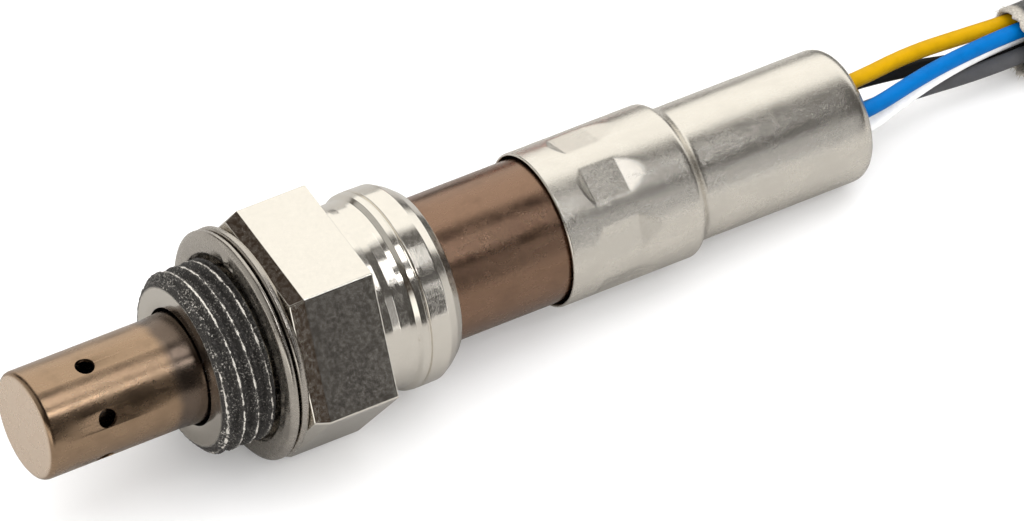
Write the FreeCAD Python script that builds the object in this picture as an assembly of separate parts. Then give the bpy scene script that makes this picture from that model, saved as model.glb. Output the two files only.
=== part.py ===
"""Planar wideband oxygen sensor with its lead, lying on its side. All sizes in millimetres.

Each piece of the sensor is built along its own axis, X, with the gas tip towards -X.
X = 0 is where the hexagon reaches its full size. The finished sensor is then leaned tail
down until the hexagon's rear edge and the cap's rear edge both lie on the floor, Z = 0.
"""

import FreeCAD
import Part
import math
import os

V = FreeCAD.Vector

# Metal shell, outside, from the hexagon forwards and then backwards
hex_flats = 22.0
hex_length = 7.2
hex_taper_length = 1.4
hex_taper_depth = 0.52
neck_length = 2.5
neck_depth = 1.05
thread_radius = 9.0
thread_length = 4.4
thread_chamfer_length = 0.8
thread_chamfer_depth = 0.95
collar_radius = 9.5
collar_length = 2.3
cove_length = 1.7
cove_bulge = 0.13
lip_ring_radius = 9.9
lip_ring_length = 1.2
crimp_groove_depth = 0.6
crimp_groove_length = 0.5
land_drop = 0.05
land_length = 1.6
rolled_lip_face = 0.15
rolled_lip_thickness = 0.3

# Metal shell, inside
protector_bore_depth = 2.6
passage_radius = 4.3
passage_length = 2.5
cup_bore_radius = 6.2
cup_bore_length = 12.0

# Clearances: slip between parts that drop in, press between parts that grip
slip = 0.05
press = 0.02

# Crush gasket
gasket_width = 2.45
gasket_lip = 1.0
gasket_slot = 0.2
gasket_fold = 0.65

# Gas protectors
protector_radius = 5.4
protector_length = 18.65
protector_wall = 0.4
protector_edge = 0.9
protector_flange = 0.7
skirt_flare = 0.15
skirt_flare_length = 2.2
skirt_length = 2.0
gas_hole_radius = 0.95
gas_hole_inset = 5.85
gas_hole_count = 6
inner_protector_radius = 3.9
inner_protector_wall = 0.3
inner_protector_gap = 1.2
inner_vent_radius = 0.9
inner_hole_radius = 0.6
inner_hole_inset = 14.0

# Sensing element and what holds it in the shell
element_width = 4.2
element_thickness = 1.3
element_length = 55.5
element_tip_gap = 2.45
element_tip_chamfer = 0.5
slot_clearance = 0.1
cup_wall = 0.35
cup_opening_radius = 3.4
lower_insulator_length = 3.05
lower_powder_length = 1.8
middle_insulator_length = 3.0
upper_powder_length = 2.6
sleeve_foot_length = 1.5
sleeve_neck_radius = 5.2
sleeve_neck_length = 12.0
packing_thickness = 0.7
packing_width = 2.7

# Brown tube
tube_radius = 7.2
tube_wall = 0.5
tube_length = 27.8
tube_flange = 1.1
swage_inset = 1.6
swage_length = 0.8

# Outer cover
cover_start = 29.4
cover_wall = 0.3
cover_gap = 0.26
cover_lip = 0.12
cover_body_length = 14.8
cover_step_length = 1.3
cover_step_bulge = 0.19
cap_radius = 6.7
cap_length = 17.8
cap_edge = 2.0
cap_opening_margin = 0.2
crimp_count = 8
crimp_depth = 0.32
crimp_inset = 3.8
crimp_length = 3.6
crimp_front_ramp = 0.7
crimp_rear_ramp = 3.4
crimp_width = 6.4

# Contact holders
front_holder_length = 11.0
front_holder_margin = 0.7
front_holder_wall = 2.0
holder_cavity_radius = 4.4
rear_holder_length = 11.5
rear_holder_margin = 0.8
tail_hole_clearance = 0.1

# Contacts: a leaf on the element, a link, a tail and a crimp barrel
leaf_width = 0.8
leaf_thickness = 0.25
leaf_rise = 1.1
leaf_length = 6.3
three_pad_pitch = 1.4
two_pad_pitch = 1.8
link_radius = 0.3
link_gap = 0.2
tail_radius = 0.4
barrel_length = 8.5
barrel_radius = 0.95
barrel_grip = 2.65

# Tolerance ring
ring_thickness = 0.25
ring_length = 6.0
ring_inset = 3.0
ring_slit = 1.2
ring_bump_count = 6
ring_bump_width = 1.4
ring_bump_length = 3.0

# Grommet and the wires' holes
grommet_length = 10.85
grommet_nose = 0.5
wire_radius = 0.725
wire_circle_radius = 2.8
wire_first_angle = 79.0
wire_hole_length = 4.35
wire_hole_clearance = 0.03
wire_mouth_flare = 0.3
wire_mouth_length = 3.2
vent_radius = 1.0

# Sheath and the coil of its put-away length
sheath_radius = 3.5
sheath_bore_radius = 3.0
sheath_bore_depth = 8.5
coil_radius = 35.0
coil_centre_x = 99.5
coil_centre_y = 36.0
turn_spacing = 7.1
side_turn_start = 90.0
climb_start = 195.0
climb_end = 233.0
tie_thickness = 0.4
tie_angle = 6.5

# Connector at the lead's far end
connector_end = (52.5, 66.5, 6.5)
boot_grip = 5.0
boot_length = 9.5
boot_collar_length = 1.6
boot_small_radius = 4.4
boot_large_radius = 5.8
boot_seat = 1.5
housing_length = 15.0
housing_width = 15.0
housing_height = 13.0
housing_corner = 1.8
nose_length = 9.0
nose_width = 12.2
nose_height = 8.4
nose_corner = 1.3
grip_rib_count = 4
grip_rib_pitch = 1.5
grip_rib_width = 0.7
grip_rib_height = 0.5
latch_width = 5.0
latch_length = 13.0
latch_foot_length = 2.4
latch_gap = 0.7
latch_thickness = 0.9
latch_catch_length = 1.4
latch_catch_height = 0.5
port_size = 1.8
port_depth = 7.0
port_pitch = 3.4
port_row_pitch = 3.6
lock_length = 5.0
lock_height = 6.0
lock_depth = 1.2
seal_length = 3.0
seal_thickness = 0.4
seal_rib_height = 0.4
seal_rib_length = 0.8
terminal_size = 1.6
terminal_hole_radius = 0.45
terminal_inset = 0.6

# Routes of the free leads in the finished frame, chosen by hand from the way the wires lie.
# The first two points of each wire lie on the axis of its hole in the grommet.
wire_routes = {
    "yellow": [(37.13, 0.54, 9.84), (45.60, 0.58, 9.20), (52.55, 1.99, 8.28), (58.95, 2.88, 6.69),
               (65.35, 3.08, 5.20), (70.83, 3.04, 4.74)],
    "blue": [(37.02, -2.44, 8.48), (45.49, -2.40, 7.83), (52.50, -0.84, 7.62), (58.95, 0.61, 6.78),
             (65.40, 1.11, 5.89), (70.88, 1.03, 5.39)],
    "white": [(36.76, -2.05, 5.20), (45.24, -2.02, 4.63), (51.66, -0.69, 5.85), (58.05, 0.94, 5.52),
              (65.29, 1.70, 4.46), (70.77, 1.62, 3.98)],
    "black": [(36.94, 2.78, 7.44), (45.40, 2.82, 6.70), (52.31, 2.53, 5.30), (58.73, 1.96, 3.95),
              (65.17, 1.52, 2.93), (70.66, 1.52, 2.45)],
    "grey": [(36.71, 1.19, 4.57), (45.19, 1.16, 3.99), (52.20, 0.68, 3.88), (58.73, 0.03, 3.94),
             (65.24, -0.30, 3.87), (70.72, -0.30, 3.43)],
}
sheath_route = [(63.19, 1.01, 4.54), (74.66, 1.03, 3.64), (87.00, 1.00, 3.90), (99.50, 1.00, 3.90)]
tail_route = [(99.50, 71.00, 11.00), (90.00, 71.00, 11.00), (80.70, 70.40, 10.00),
              (71.50, 68.50, 7.70), (61.80, 66.50, 6.50), (52.50, 66.50, 6.50)]

# Stations along the sensor's axis
seat_x = -hex_taper_length
thread_rear = seat_x - neck_length
thread_front = thread_rear - thread_length
shell_front = thread_front - thread_chamfer_length
collar_end = hex_length + collar_length
cove_end = collar_end + cove_length
lip_ring_end = cove_end + lip_ring_length
groove_end = lip_ring_end + crimp_groove_length
land_radius = lip_ring_radius - land_drop
land_end = groove_end + land_length
tube_passage = tube_radius + slip
roll_radius = land_radius - tube_passage - rolled_lip_face
rolled_end = land_end + roll_radius
flange_seat = land_end - rolled_lip_thickness
flange_radius = tube_radius + tube_flange
sleeve_bore_radius = flange_radius + slip
skirt_radius = protector_radius + skirt_flare
protector_flange_radius = skirt_radius + protector_flange
protector_bore_radius = protector_flange_radius + slip
protector_seat = shell_front + protector_bore_depth
cup_seat = protector_seat + passage_length
cup_bore_end = cup_seat + cup_bore_length
cup_radius = cup_bore_radius - slip
insulator_radius = cup_radius - cup_wall - slip
lower_insulator_start = cup_seat + cup_wall
lower_powder_start = lower_insulator_start + lower_insulator_length
middle_insulator_start = lower_powder_start + lower_powder_length
upper_powder_start = middle_insulator_start + middle_insulator_length
sleeve_start = upper_powder_start + upper_powder_length
sleeve_shoulder = sleeve_start + sleeve_foot_length
flange_front = flange_seat - tube_wall
packing_start = flange_front - packing_thickness
sleeve_end = packing_start + sleeve_neck_length
front_holder_end = sleeve_end + front_holder_length
rear_holder_end = front_holder_end + rear_holder_length
tube_end = flange_front + tube_length
tube_bore_radius = tube_radius - tube_wall
cover_radius = tube_radius + cover_gap + cover_wall
cover_body_end = cover_start + cover_body_length
cap_start = cover_body_end + cover_step_length
cap_end = cap_start + cap_length
cap_bore_radius = cap_radius - cover_wall
crimp_radius = cover_radius - crimp_depth
swage_start = cover_start + swage_inset
swage_radius = min(tube_radius, crimp_radius - cover_wall - 2 * press)
cap_opening = cap_radius - cap_edge - cap_opening_margin
grommet_rear = cap_end - cover_wall - slip
grommet_front = grommet_rear - grommet_length
mouth_end = cap_end + grommet_nose
barrel_end = grommet_rear - wire_hole_length
barrel_start = barrel_end - barrel_length
inner_flange_front = protector_seat - inner_protector_wall
outer_flange_front = inner_flange_front - protector_wall
tip_x = outer_flange_front - protector_length
inner_tip_x = tip_x + protector_wall + inner_protector_gap
element_start = inner_tip_x + inner_protector_wall + element_tip_gap
element_end = element_start + element_length
front_holder_radius = tube_bore_radius - front_holder_margin

# Each contact's wire, in order round the axis, with its pad's side and place across the element
contact_pads = {
    "yellow": (1, 0.0),
    "blue": (1, -three_pad_pitch),
    "white": (-1, -two_pad_pitch / 2),
    "grey": (-1, two_pad_pitch / 2),
    "black": (1, three_pad_pitch),
}

# How far a cutting solid runs past the faces that it cuts
past = 1.0

# The bulge of a quarter circle and of a half circle: the arc's height over its chord
quarter = math.tan(math.pi / 8) / 2
half = 0.5


def side_of(start, end, bulge, plane):
    """A line from start to end, or the arc that stands to its left by bulge times its length."""
    if bulge == 0:
        return Part.LineSegment(plane(*start), plane(*end)).toShape()
    along = (end[0] - start[0], end[1] - start[1])
    middle = ((start[0] + end[0]) / 2 - along[1] * bulge, (start[1] + end[1]) / 2 + along[0] * bulge)
    return Part.Arc(plane(*start), plane(*middle), plane(*end)).toShape()


def outline(points, plane):
    """A face through (a, b) points; a third number is the bulge of the side that ends there."""
    sides = []
    for here, there in zip(points, points[1:] + points[:1]):
        bulge = there[2] if len(there) > 2 else 0
        sides.append(side_of(here[:2], there[:2], bulge, plane))
    return Part.Face(Part.Wire(sides))


def turned(points):
    """A solid of revolution about X, from (x, radius) points."""
    face = outline(points, lambda x, radius: V(x, 0, radius))
    return face.revolve(V(0, 0, 0), V(1, 0, 0), 360)


def disc(start, end, radius):
    return Part.makeCylinder(radius, end - start, V(start, 0, 0), V(1, 0, 0))


def ring(start, end, outer, inner):
    return disc(start, end, outer).cut(disc(start - past, end + past, inner))


def rod(start, end, radius, place):
    """A cylinder along X at a (y, z) place."""
    return Part.makeCylinder(radius, end - start, V(start, *place), V(1, 0, 0))


def block(start, end, width, height, place=(0.0, 0.0)):
    """A block along X, centred on a (y, z) place."""
    corner = V(start, place[0] - width / 2, place[1] - height / 2)
    return Part.makeBox(end - start, width, height, corner)


def rounded_block(start, end, width, height, corner):
    """A block along X, centred on it, with its four long edges rounded."""
    solid = block(start, end, width, height)
    long_edges = [edge for edge in solid.Edges if abs(edge.tangentAt(edge.FirstParameter).x) > 0.99]
    return solid.makeFillet(corner, long_edges)


def around(solid, count, first=0.0):
    """Copies of a solid, evenly spaced about X."""
    copies = []
    for number in range(count):
        copy = solid.copy()
        copy.rotate(V(0, 0, 0), V(1, 0, 0), first + 360 / count * number)
        copies.append(copy)
    return copies


def hexagon(x, apothem):
    """A hexagon across the axis, with a flat at its bottom."""
    corner = apothem / math.cos(math.pi / 6)
    turns = [math.pi / 3 * number for number in range(7)]
    return Part.makePolygon([V(x, corner * math.cos(turn), corner * math.sin(turn)) for turn in turns])


def wire_places():
    """The (y, z) place of each wire's hole, on one circle about the axis."""
    places = {}
    for number, colour in enumerate(contact_pads):
        angle = math.radians(wire_first_angle + 360 / len(contact_pads) * number)
        places[colour] = (wire_circle_radius * math.cos(angle), wire_circle_radius * math.sin(angle))
    return places


def element_slot(start, end):
    return block(start, end, element_width + 2 * slot_clearance, element_thickness + 2 * slot_clearance)


def metal_shell():
    """The turned shell: thread blank, neck, tapered hexagon, collar, crimp groove and rolled lip."""
    neck_radius = thread_radius - neck_depth
    groove_radius = lip_ring_radius - crimp_groove_depth
    core = turned([
        (shell_front, 0),
        (shell_front, thread_radius - thread_chamfer_depth),
        (thread_front, thread_radius),
        (thread_rear, thread_radius),
        (thread_rear, neck_radius),
        (hex_length / 2, neck_radius),
        (hex_length / 2, collar_radius),
        (collar_end, collar_radius),
        (cove_end, lip_ring_radius, -cove_bulge),
        (lip_ring_end, lip_ring_radius),
        (lip_ring_end, groove_radius),
        (groove_end, groove_radius),
        (groove_end, land_radius),
        (land_end, land_radius),
        (rolled_end, tube_passage + rolled_lip_face, quarter),
        (rolled_end, 0),
    ])
    apothem = hex_flats / 2
    sections = [hexagon(seat_x, apothem - hex_taper_depth), hexagon(0, apothem), hexagon(hex_length, apothem)]
    body = core.fuse(Part.makeLoft(sections, True, True)).removeSplitter()
    bore = turned([
        (shell_front - past, 0),
        (shell_front - past, protector_bore_radius),
        (protector_seat, protector_bore_radius),
        (protector_seat, passage_radius),
        (cup_seat, passage_radius),
        (cup_seat, cup_bore_radius),
        (cup_bore_end, cup_bore_radius),
        (cup_bore_end, sleeve_bore_radius),
        (flange_seat, sleeve_bore_radius),
        (flange_seat, tube_passage),
        (rolled_end + past, tube_passage),
        (rolled_end + past, 0),
    ])
    return body.cut(bore)


def crush_gasket():
    """A ring folded from sheet: two rounded lips joined at the inside, with a slot between them."""
    inner = thread_radius + slip
    outer = inner + gasket_width
    slot_rear = seat_x - gasket_lip
    slot_front = slot_rear - gasket_slot
    front = slot_front - gasket_lip
    edge = gasket_lip / 2
    fold = inner + gasket_fold
    return turned([
        (front, inner + edge, quarter),
        (front, outer - edge),
        (front + edge, outer, quarter),
        (slot_front, outer - edge, quarter),
        (slot_front, fold),
        (slot_rear, fold, -half),
        (slot_rear, outer - edge),
        (slot_rear + edge, outer, quarter),
        (seat_x, outer - edge, quarter),
        (seat_x, inner + edge),
        (seat_x - edge, inner, quarter),
        (front + edge, inner),
    ])


def outer_protector():
    """A drawn tube with a closed end, a flared skirt and a flange that seats in the shell."""
    wall = protector_wall
    flare_end = outer_flange_front - skirt_length
    flare_start = flare_end - skirt_flare_length
    body = turned([
        (tip_x, 0),
        (tip_x, protector_radius - protector_edge),
        (tip_x + protector_edge, protector_radius, quarter),
        (flare_start, protector_radius),
        (flare_end, skirt_radius),
        (outer_flange_front, skirt_radius),
        (outer_flange_front, protector_flange_radius),
        (inner_flange_front, protector_flange_radius),
        (inner_flange_front, skirt_radius - wall),
        (flare_end, skirt_radius - wall),
        (flare_start, protector_radius - wall),
        (tip_x + protector_edge, protector_radius - wall),
        (tip_x + wall, protector_radius - protector_edge, -quarter),
        (tip_x + wall, 0),
    ])
    hole_x = tip_x + gas_hole_inset
    hole = Part.makeCylinder(gas_hole_radius, protector_radius + past, V(hole_x, 0, 0), V(0, 0, 1))
    return body.cut(around(hole, gas_hole_count))


def inner_protector():
    """The second gas tube, with a vent in its end and its holes set between the outer ones."""
    wall = inner_protector_wall
    inside = inner_protector_radius - wall
    body = turned([
        (inner_tip_x, inner_vent_radius),
        (inner_tip_x, inside),
        (inner_tip_x + wall, inner_protector_radius, quarter),
        (inner_flange_front, inner_protector_radius),
        (inner_flange_front, protector_flange_radius),
        (protector_seat, protector_flange_radius),
        (protector_seat, inside),
        (inner_tip_x + wall, inside),
        (inner_tip_x + wall, inner_vent_radius),
    ])
    hole_x = tip_x + inner_hole_inset
    hole = Part.makeCylinder(inner_hole_radius, inner_protector_radius + past, V(hole_x, 0, 0), V(0, 0, 1))
    return body.cut(around(hole, gas_hole_count, 180 / gas_hole_count))


def sensing_element():
    """A planar ceramic strip with a chamfered tip."""
    edge = element_width / 2
    tip = element_tip_chamfer
    face = outline([
        (element_start, -edge + tip),
        (element_start + tip, -edge),
        (element_end, -edge),
        (element_end, edge),
        (element_start + tip, edge),
        (element_start, edge - tip),
    ], lambda x, y: V(x, y, -element_thickness / 2))
    return face.extrude(V(0, 0, element_thickness))


def element_cup():
    """A drawn cup on the shell's seat, open in its floor for the element."""
    return turned([
        (cup_seat, cup_opening_radius),
        (cup_seat, cup_radius - cup_wall),
        (cup_seat + cup_wall, cup_radius, quarter),
        (upper_powder_start, cup_radius),
        (upper_powder_start, cup_radius - cup_wall),
        (lower_insulator_start, cup_radius - cup_wall),
        (lower_insulator_start, cup_opening_radius),
    ])


def slotted_disc(start, length, radius):
    """A bush or a pressed powder seal, with the element's slot through it."""
    return disc(start, start + length, radius).cut(element_slot(start - past, start + length + past))


def ceramic_sleeve():
    """The rear ceramic: a foot on the powder, a shoulder under the packing ring, and a neck."""
    foot_radius = cup_bore_radius - slip
    shoulder_radius = sleeve_bore_radius - slip
    body = turned([
        (sleeve_start, 0),
        (sleeve_start, foot_radius),
        (sleeve_shoulder, foot_radius),
        (sleeve_shoulder, shoulder_radius),
        (packing_start, shoulder_radius),
        (packing_start, sleeve_neck_radius),
        (sleeve_end, sleeve_neck_radius),
        (sleeve_end, 0),
    ])
    return body.cut(element_slot(sleeve_start - past, sleeve_end + past))


def packing_ring():
    return ring(packing_start, flange_front, flange_radius, flange_radius - packing_width)


def inner_tube():
    """The brown tube: a flange under the shell's rolled lip, and a swaged end inside the cover."""
    swage_end = swage_start + swage_length
    return turned([
        (flange_front, tube_bore_radius),
        (flange_front, flange_radius),
        (flange_seat, flange_radius),
        (flange_seat, tube_radius),
        (swage_start, tube_radius),
        (swage_end, swage_radius),
        (tube_end, swage_radius),
        (tube_end, swage_radius - tube_wall),
        (swage_end, swage_radius - tube_wall),
        (swage_start, tube_bore_radius),
    ])


def crimp_tools(inset):
    """What the crimping jaws press out of the cover: a flat, with a ramp before and behind it."""
    flat = crimp_radius - inset
    flat_start = cover_start + crimp_inset
    flat_end = flat_start + crimp_length
    face = outline([
        (flat_start, flat),
        (flat_end, flat),
        (flat_end + crimp_rear_ramp, flat + crimp_depth),
        (flat_end + crimp_rear_ramp, cover_radius + past),
        (flat_start - crimp_front_ramp, cover_radius + past),
        (flat_start - crimp_front_ramp, flat + crimp_depth),
    ], lambda x, z: V(x, -crimp_width / 2, z))
    return around(face.extrude(V(0, crimp_width, 0)), crimp_count, 180 / crimp_count)


def cover_form():
    """The cover's outside as a closed form: rounded lip, body, step, cap and rolled rear edge."""
    step_middle = ((cover_body_end + cap_start) / 2, (cover_radius + cap_radius) / 2)
    body = turned([
        (cover_start, 0),
        (cover_start, cover_radius - cover_lip),
        (cover_start + cover_lip, cover_radius, quarter),
        (cover_body_end, cover_radius),
        (*step_middle, cover_step_bulge),
        (cap_start, cap_radius, -cover_step_bulge),
        (cap_end - cap_edge, cap_radius),
        (cap_end, cap_radius - cap_edge, quarter),
        (cap_end, 0),
    ])
    return body.cut(crimp_tools(0))


def cover_space():
    """The space inside the cover, one wall in from its outside and open to the front."""
    wall = cover_wall
    step_middle = ((cover_body_end + cap_start) / 2 - wall, (cover_radius + cap_radius) / 2 - wall)
    body = turned([
        (cover_start - past, 0),
        (cover_start - past, cover_radius - wall),
        (cover_body_end - wall, cover_radius - wall),
        (*step_middle, cover_step_bulge),
        (cap_start - wall, cap_bore_radius, -cover_step_bulge),
        (cap_end - cap_edge, cap_bore_radius),
        (cap_end - wall, cap_radius - cap_edge, quarter),
        (cap_end - wall, 0),
    ])
    return body.cut(crimp_tools(wall))


def outer_cover():
    shell = cover_form().cut(cover_space())
    return shell.cut(disc(cap_end - 2 * cover_wall, cap_end + past, cap_opening))


def front_holder():
    """A ceramic cup round the element's contact end."""
    cavity_start = sleeve_end + front_holder_wall
    body = disc(sleeve_end, front_holder_end, front_holder_radius)
    body = body.cut(element_slot(sleeve_end - past, cavity_start + past))
    return body.cut(disc(cavity_start, front_holder_end + past, holder_cavity_radius))


def rear_holder():
    """A ceramic disc with a hole for each contact's tail."""
    body = disc(front_holder_end, rear_holder_end, cap_bore_radius - rear_holder_margin)
    hole_radius = tail_radius + tail_hole_clearance
    return body.cut([rod(front_holder_end - past, rear_holder_end + past, hole_radius, place)
                     for place in wire_places().values()])


def tolerance_ring():
    """A slit spring ring in the tube, with bumps that hold the front holder in the middle."""
    start = sleeve_end + ring_inset
    end = start + ring_length
    outer = swage_radius - tube_wall - press
    inner = outer - ring_thickness
    middle = (start + end) / 2
    bump_low = front_holder_radius + press
    bump_high = inner + ring_thickness / 2
    bump = block(middle - ring_bump_length / 2, middle + ring_bump_length / 2, ring_bump_width,
                 bump_high - bump_low, (0, (bump_low + bump_high) / 2))
    body = ring(start, end, outer, inner).fuse(around(bump, ring_bump_count, 180 / ring_bump_count))
    return body.cut(block(start - past, end + past, ring_slit, outer + past, (0, (outer + past) / 2)))


def contact(colour):
    """A leaf spring on the element's pad, a link, a tail through the rear holder and a barrel."""
    side, y = contact_pads[colour]
    place = wire_places()[colour]
    link_x = element_end + link_gap + link_radius
    start = link_x - leaf_length
    middle = (start + link_x) / 2
    touch = element_thickness / 2 + press
    top = touch + leaf_rise
    leaf = outline([
        (start, side * top),
        (middle, side * touch),
        (link_x, side * top),
        (link_x, side * (top + leaf_thickness)),
        (middle, side * (touch + leaf_thickness)),
        (start, side * (top + leaf_thickness)),
    ], lambda x, z: V(x, y - leaf_width / 2, z)).extrude(V(0, leaf_width, 0))
    near = V(link_x, y, side * (top + leaf_thickness / 2))
    reach = V(link_x, *place) - near
    link = Part.makeCylinder(link_radius, reach.Length, near, reach)
    tail = rod(link_x - link_radius, barrel_start + past, tail_radius, place)
    barrel = rod(barrel_start, barrel_end, barrel_radius, place)
    grip = rod(barrel_end - barrel_grip, barrel_end + past, wire_radius + wire_hole_clearance, place)
    return leaf.fuse([link, tail, barrel]).cut(grip)


def grommet():
    """The elastomer plug in the cap, with flared wire mouths and a nose in the cap's opening."""
    nose_radius = cap_opening - slip
    body = turned([
        (grommet_front, 0),
        (grommet_front, cap_bore_radius - slip),
        (cap_end - cap_edge, cap_bore_radius - slip),
        (grommet_rear, cap_radius - cap_edge, quarter),
        (grommet_rear, nose_radius),
        (mouth_end, nose_radius),
        (mouth_end, 0),
    ])
    hole_radius = wire_radius + wire_hole_clearance
    for place in wire_places().values():
        hole = rod(grommet_front - past, mouth_end + past, hole_radius, place)
        barrel_seat = rod(grommet_front - past, barrel_end + press, barrel_radius + press, place)
        mouth = Part.makeCone(hole_radius, hole_radius + wire_mouth_flare, wire_mouth_length,
                              V(mouth_end - wire_mouth_length, *place), V(1, 0, 0))
        body = body.cut([hole, barrel_seat, mouth])
    return body.cut(disc(grommet_front - past, mouth_end + past, vent_radius))


def vent_filter():
    return disc(grommet_front, mouth_end, vent_radius - press)


def sensor_pieces():
    """Every piece of the sensor itself, along its own axis."""
    nodes = {
        "outer_protector": outer_protector(),
        "inner_protector": inner_protector(),
        "metal_shell": metal_shell(),
        "crush_gasket": crush_gasket(),
        "sensing_element": sensing_element(),
        "element_cup": element_cup(),
        "lower_insulator": slotted_disc(lower_insulator_start, lower_insulator_length, insulator_radius),
        "lower_powder": slotted_disc(lower_powder_start, lower_powder_length, insulator_radius),
        "middle_insulator": slotted_disc(middle_insulator_start, middle_insulator_length, insulator_radius),
        "upper_powder": slotted_disc(upper_powder_start, upper_powder_length, cup_radius),
        "ceramic_sleeve": ceramic_sleeve(),
        "packing_ring": packing_ring(),
        "inner_tube": inner_tube(),
        "outer_cover": outer_cover(),
        "front_holder": front_holder(),
        "rear_holder": rear_holder(),
        "tolerance_ring": tolerance_ring(),
        "grommet": grommet(),
        "vent_filter": vent_filter(),
    }
    for colour in contact_pads:
        nodes["contact_" + colour] = contact(colour)
    return nodes


def lean_angle():
    """How far the sensor leans when the hexagon's rear edge and the cap's rear edge lie on a floor."""
    along = cap_end - cap_edge - hex_length
    down = hex_flats / 2 - (cap_radius - cap_edge)
    return math.atan2(down, along) - math.asin(cap_edge / math.hypot(along, down))


def lay_down(nodes):
    """Lean the sensor's pieces, lift them onto the floor and centre them over the origin."""
    angle = lean_angle()
    lift = hex_length * math.sin(angle) + hex_flats / 2 * math.cos(angle)
    for solid in nodes.values():
        solid.rotate(V(0, 0, 0), V(0, 1, 0), math.degrees(angle))
    low = nodes["outer_protector"].optimalBoundingBox(False, False).XMin
    high = nodes["grommet"].optimalBoundingBox(False, False).XMax
    for solid in nodes.values():
        solid.translate(V(-(low + high) / 2, 0, lift))
    print("lean %.4f degrees, lift %.4f, shift %.4f" % (math.degrees(angle), lift, -(low + high) / 2))


def rounded_path(points):
    """Straight runs joined by tangent arcs, and the arcs' radii."""
    points = [V(*point) for point in points]
    edges = []
    radii = []
    here = points[0]
    for before, corner, after in zip(points, points[1:], points[2:]):
        arrive = corner - before
        leave = after - corner
        reach = 0.45 * min(arrive.Length, leave.Length)
        arrive.normalize()
        leave.normalize()
        half_turn = arrive.getAngle(leave) / 2
        radius = reach / math.tan(half_turn)
        inward = leave - arrive
        inward.normalize()
        start = corner - arrive * reach
        end = corner + leave * reach
        middle = corner + inward * (radius / math.cos(half_turn) - radius)
        edges.append(Part.LineSegment(here, start).toShape())
        edges.append(Part.Arc(start, middle, end).toShape())
        radii.append(radius)
        here = end
    edges.append(Part.LineSegment(here, points[-1]).toShape())
    return Part.Wire(edges), radii


def cord(name, route, radius):
    """A round cord along a route; prints its length, its radii and how well its volume agrees."""
    path, radii = rounded_path(route)
    start = V(*route[0])
    section = Part.Wire(Part.makeCircle(radius, start, V(*route[1]) - start))
    solid = path.makePipeShell([section], True, False)
    share = solid.Volume / (math.pi * radius ** 2 * path.Length)
    rounded = [round(each, 1) for each in radii]
    print("%s: length %.1f, radii %s, volume share %.4f" % (name, path.Length, rounded, share))
    return solid


def sheath():
    """The stretch from the cut end to the coil, bored where the wires go in."""
    solid = cord("sheath", sheath_route, sheath_radius)
    start = V(*sheath_route[0])
    heading = V(*sheath_route[1]) - start
    heading.normalize()
    bore = Part.makeCylinder(sheath_bore_radius, sheath_bore_depth + past, start - heading * past, heading)
    return solid.cut(bore)


def turn_section(heights, radius):
    """The section of the coil at one height, or of two stacked turns as one closed outline."""
    x = coil_centre_x + coil_radius
    if len(heights) == 1:
        circle = Part.makeCircle(radius, V(x, coil_centre_y, heights[0]), V(0, 1, 0))
        return Part.Face(Part.Wire(circle))
    low, high = heights
    return outline([
        (x + radius, low, -half),
        (x + radius, high),
        (x - radius, high, -half),
        (x - radius, low),
    ], lambda across, up: V(across, coil_centre_y, up))


def coil_sector(section, start, end):
    """A stretch of the coil: a section swept about the coil's own upright axis."""
    centre = V(coil_centre_x, coil_centre_y, 0)
    face = section.copy()
    face.rotate(centre, V(0, 0, 1), start)
    return face.revolve(centre, V(0, 0, 1), end - start)


def turn_heights():
    """The heights of the first and the second turn's middle; the tie's tape lies under the first."""
    first = sheath_radius + tie_thickness
    return first, first + turn_spacing


def sheath_coil():
    """One and a half turns: stacked in front, one turn at the side, and the climb to the second."""
    first, second = turn_heights()
    stacked = turn_section((first, second), sheath_radius)
    lower = turn_section((first,), sheath_radius)
    upper = turn_section((second,), sheath_radius)
    start = side_turn_start - 180
    return coil_sector(stacked, start, side_turn_start).fuse([
        coil_sector(lower, side_turn_start, climb_start),
        coil_sector(stacked, climb_start, climb_end),
        coil_sector(upper, climb_end, start + 360),
    ])


def coil_tie():
    """A tape wrapped round both turns."""
    outside = turn_section(turn_heights(), sheath_radius + tie_thickness)
    inside = turn_section(turn_heights(), sheath_radius)
    sector = coil_sector(outside, -tie_angle / 2, tie_angle / 2)
    return sector.cut(coil_sector(inside, -tie_angle, tie_angle))


def connector_boot():
    """A tapered rubber boot that grips the sheath's end and plugs into the housing."""
    front = boot_grip - boot_length
    return turned([
        (0, 0),
        (0, sheath_radius + press),
        (boot_grip, sheath_radius + press),
        (boot_grip, boot_small_radius),
        (boot_grip - boot_collar_length, boot_small_radius),
        (front + boot_seat + boot_collar_length, boot_large_radius, cove_bulge),
        (front, boot_large_radius),
        (front, 0),
    ])


def port_places():
    """The (y, z) places of the terminal ports: three above and two below."""
    upper = [(port_pitch * number, port_row_pitch / 2) for number in (-1, 0, 1)]
    lower = [(port_pitch * number, -port_row_pitch / 2) for number in (-0.5, 0.5)]
    return upper + lower


def housing_stations():
    """The connector's faces along its axis: the housing's rear and front, and the nose's tip."""
    rear = boot_grip - boot_length + boot_seat
    front = rear - housing_length
    return rear, front, front - nose_length


def lock_block(margin):
    """The secondary lock in the housing's side; the margin is what its recess has more all round."""
    rear, front, tip = housing_stations()
    side = -housing_width / 2
    outer = side - grip_rib_height - margin
    inner = side + lock_depth + margin
    middle = (front + rear - grip_rib_pitch * grip_rib_count) / 2
    return block(middle - lock_length / 2 - margin, middle + lock_length / 2 + margin,
                 inner - outer, lock_height + 2 * margin, ((inner + outer) / 2, 0))


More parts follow.
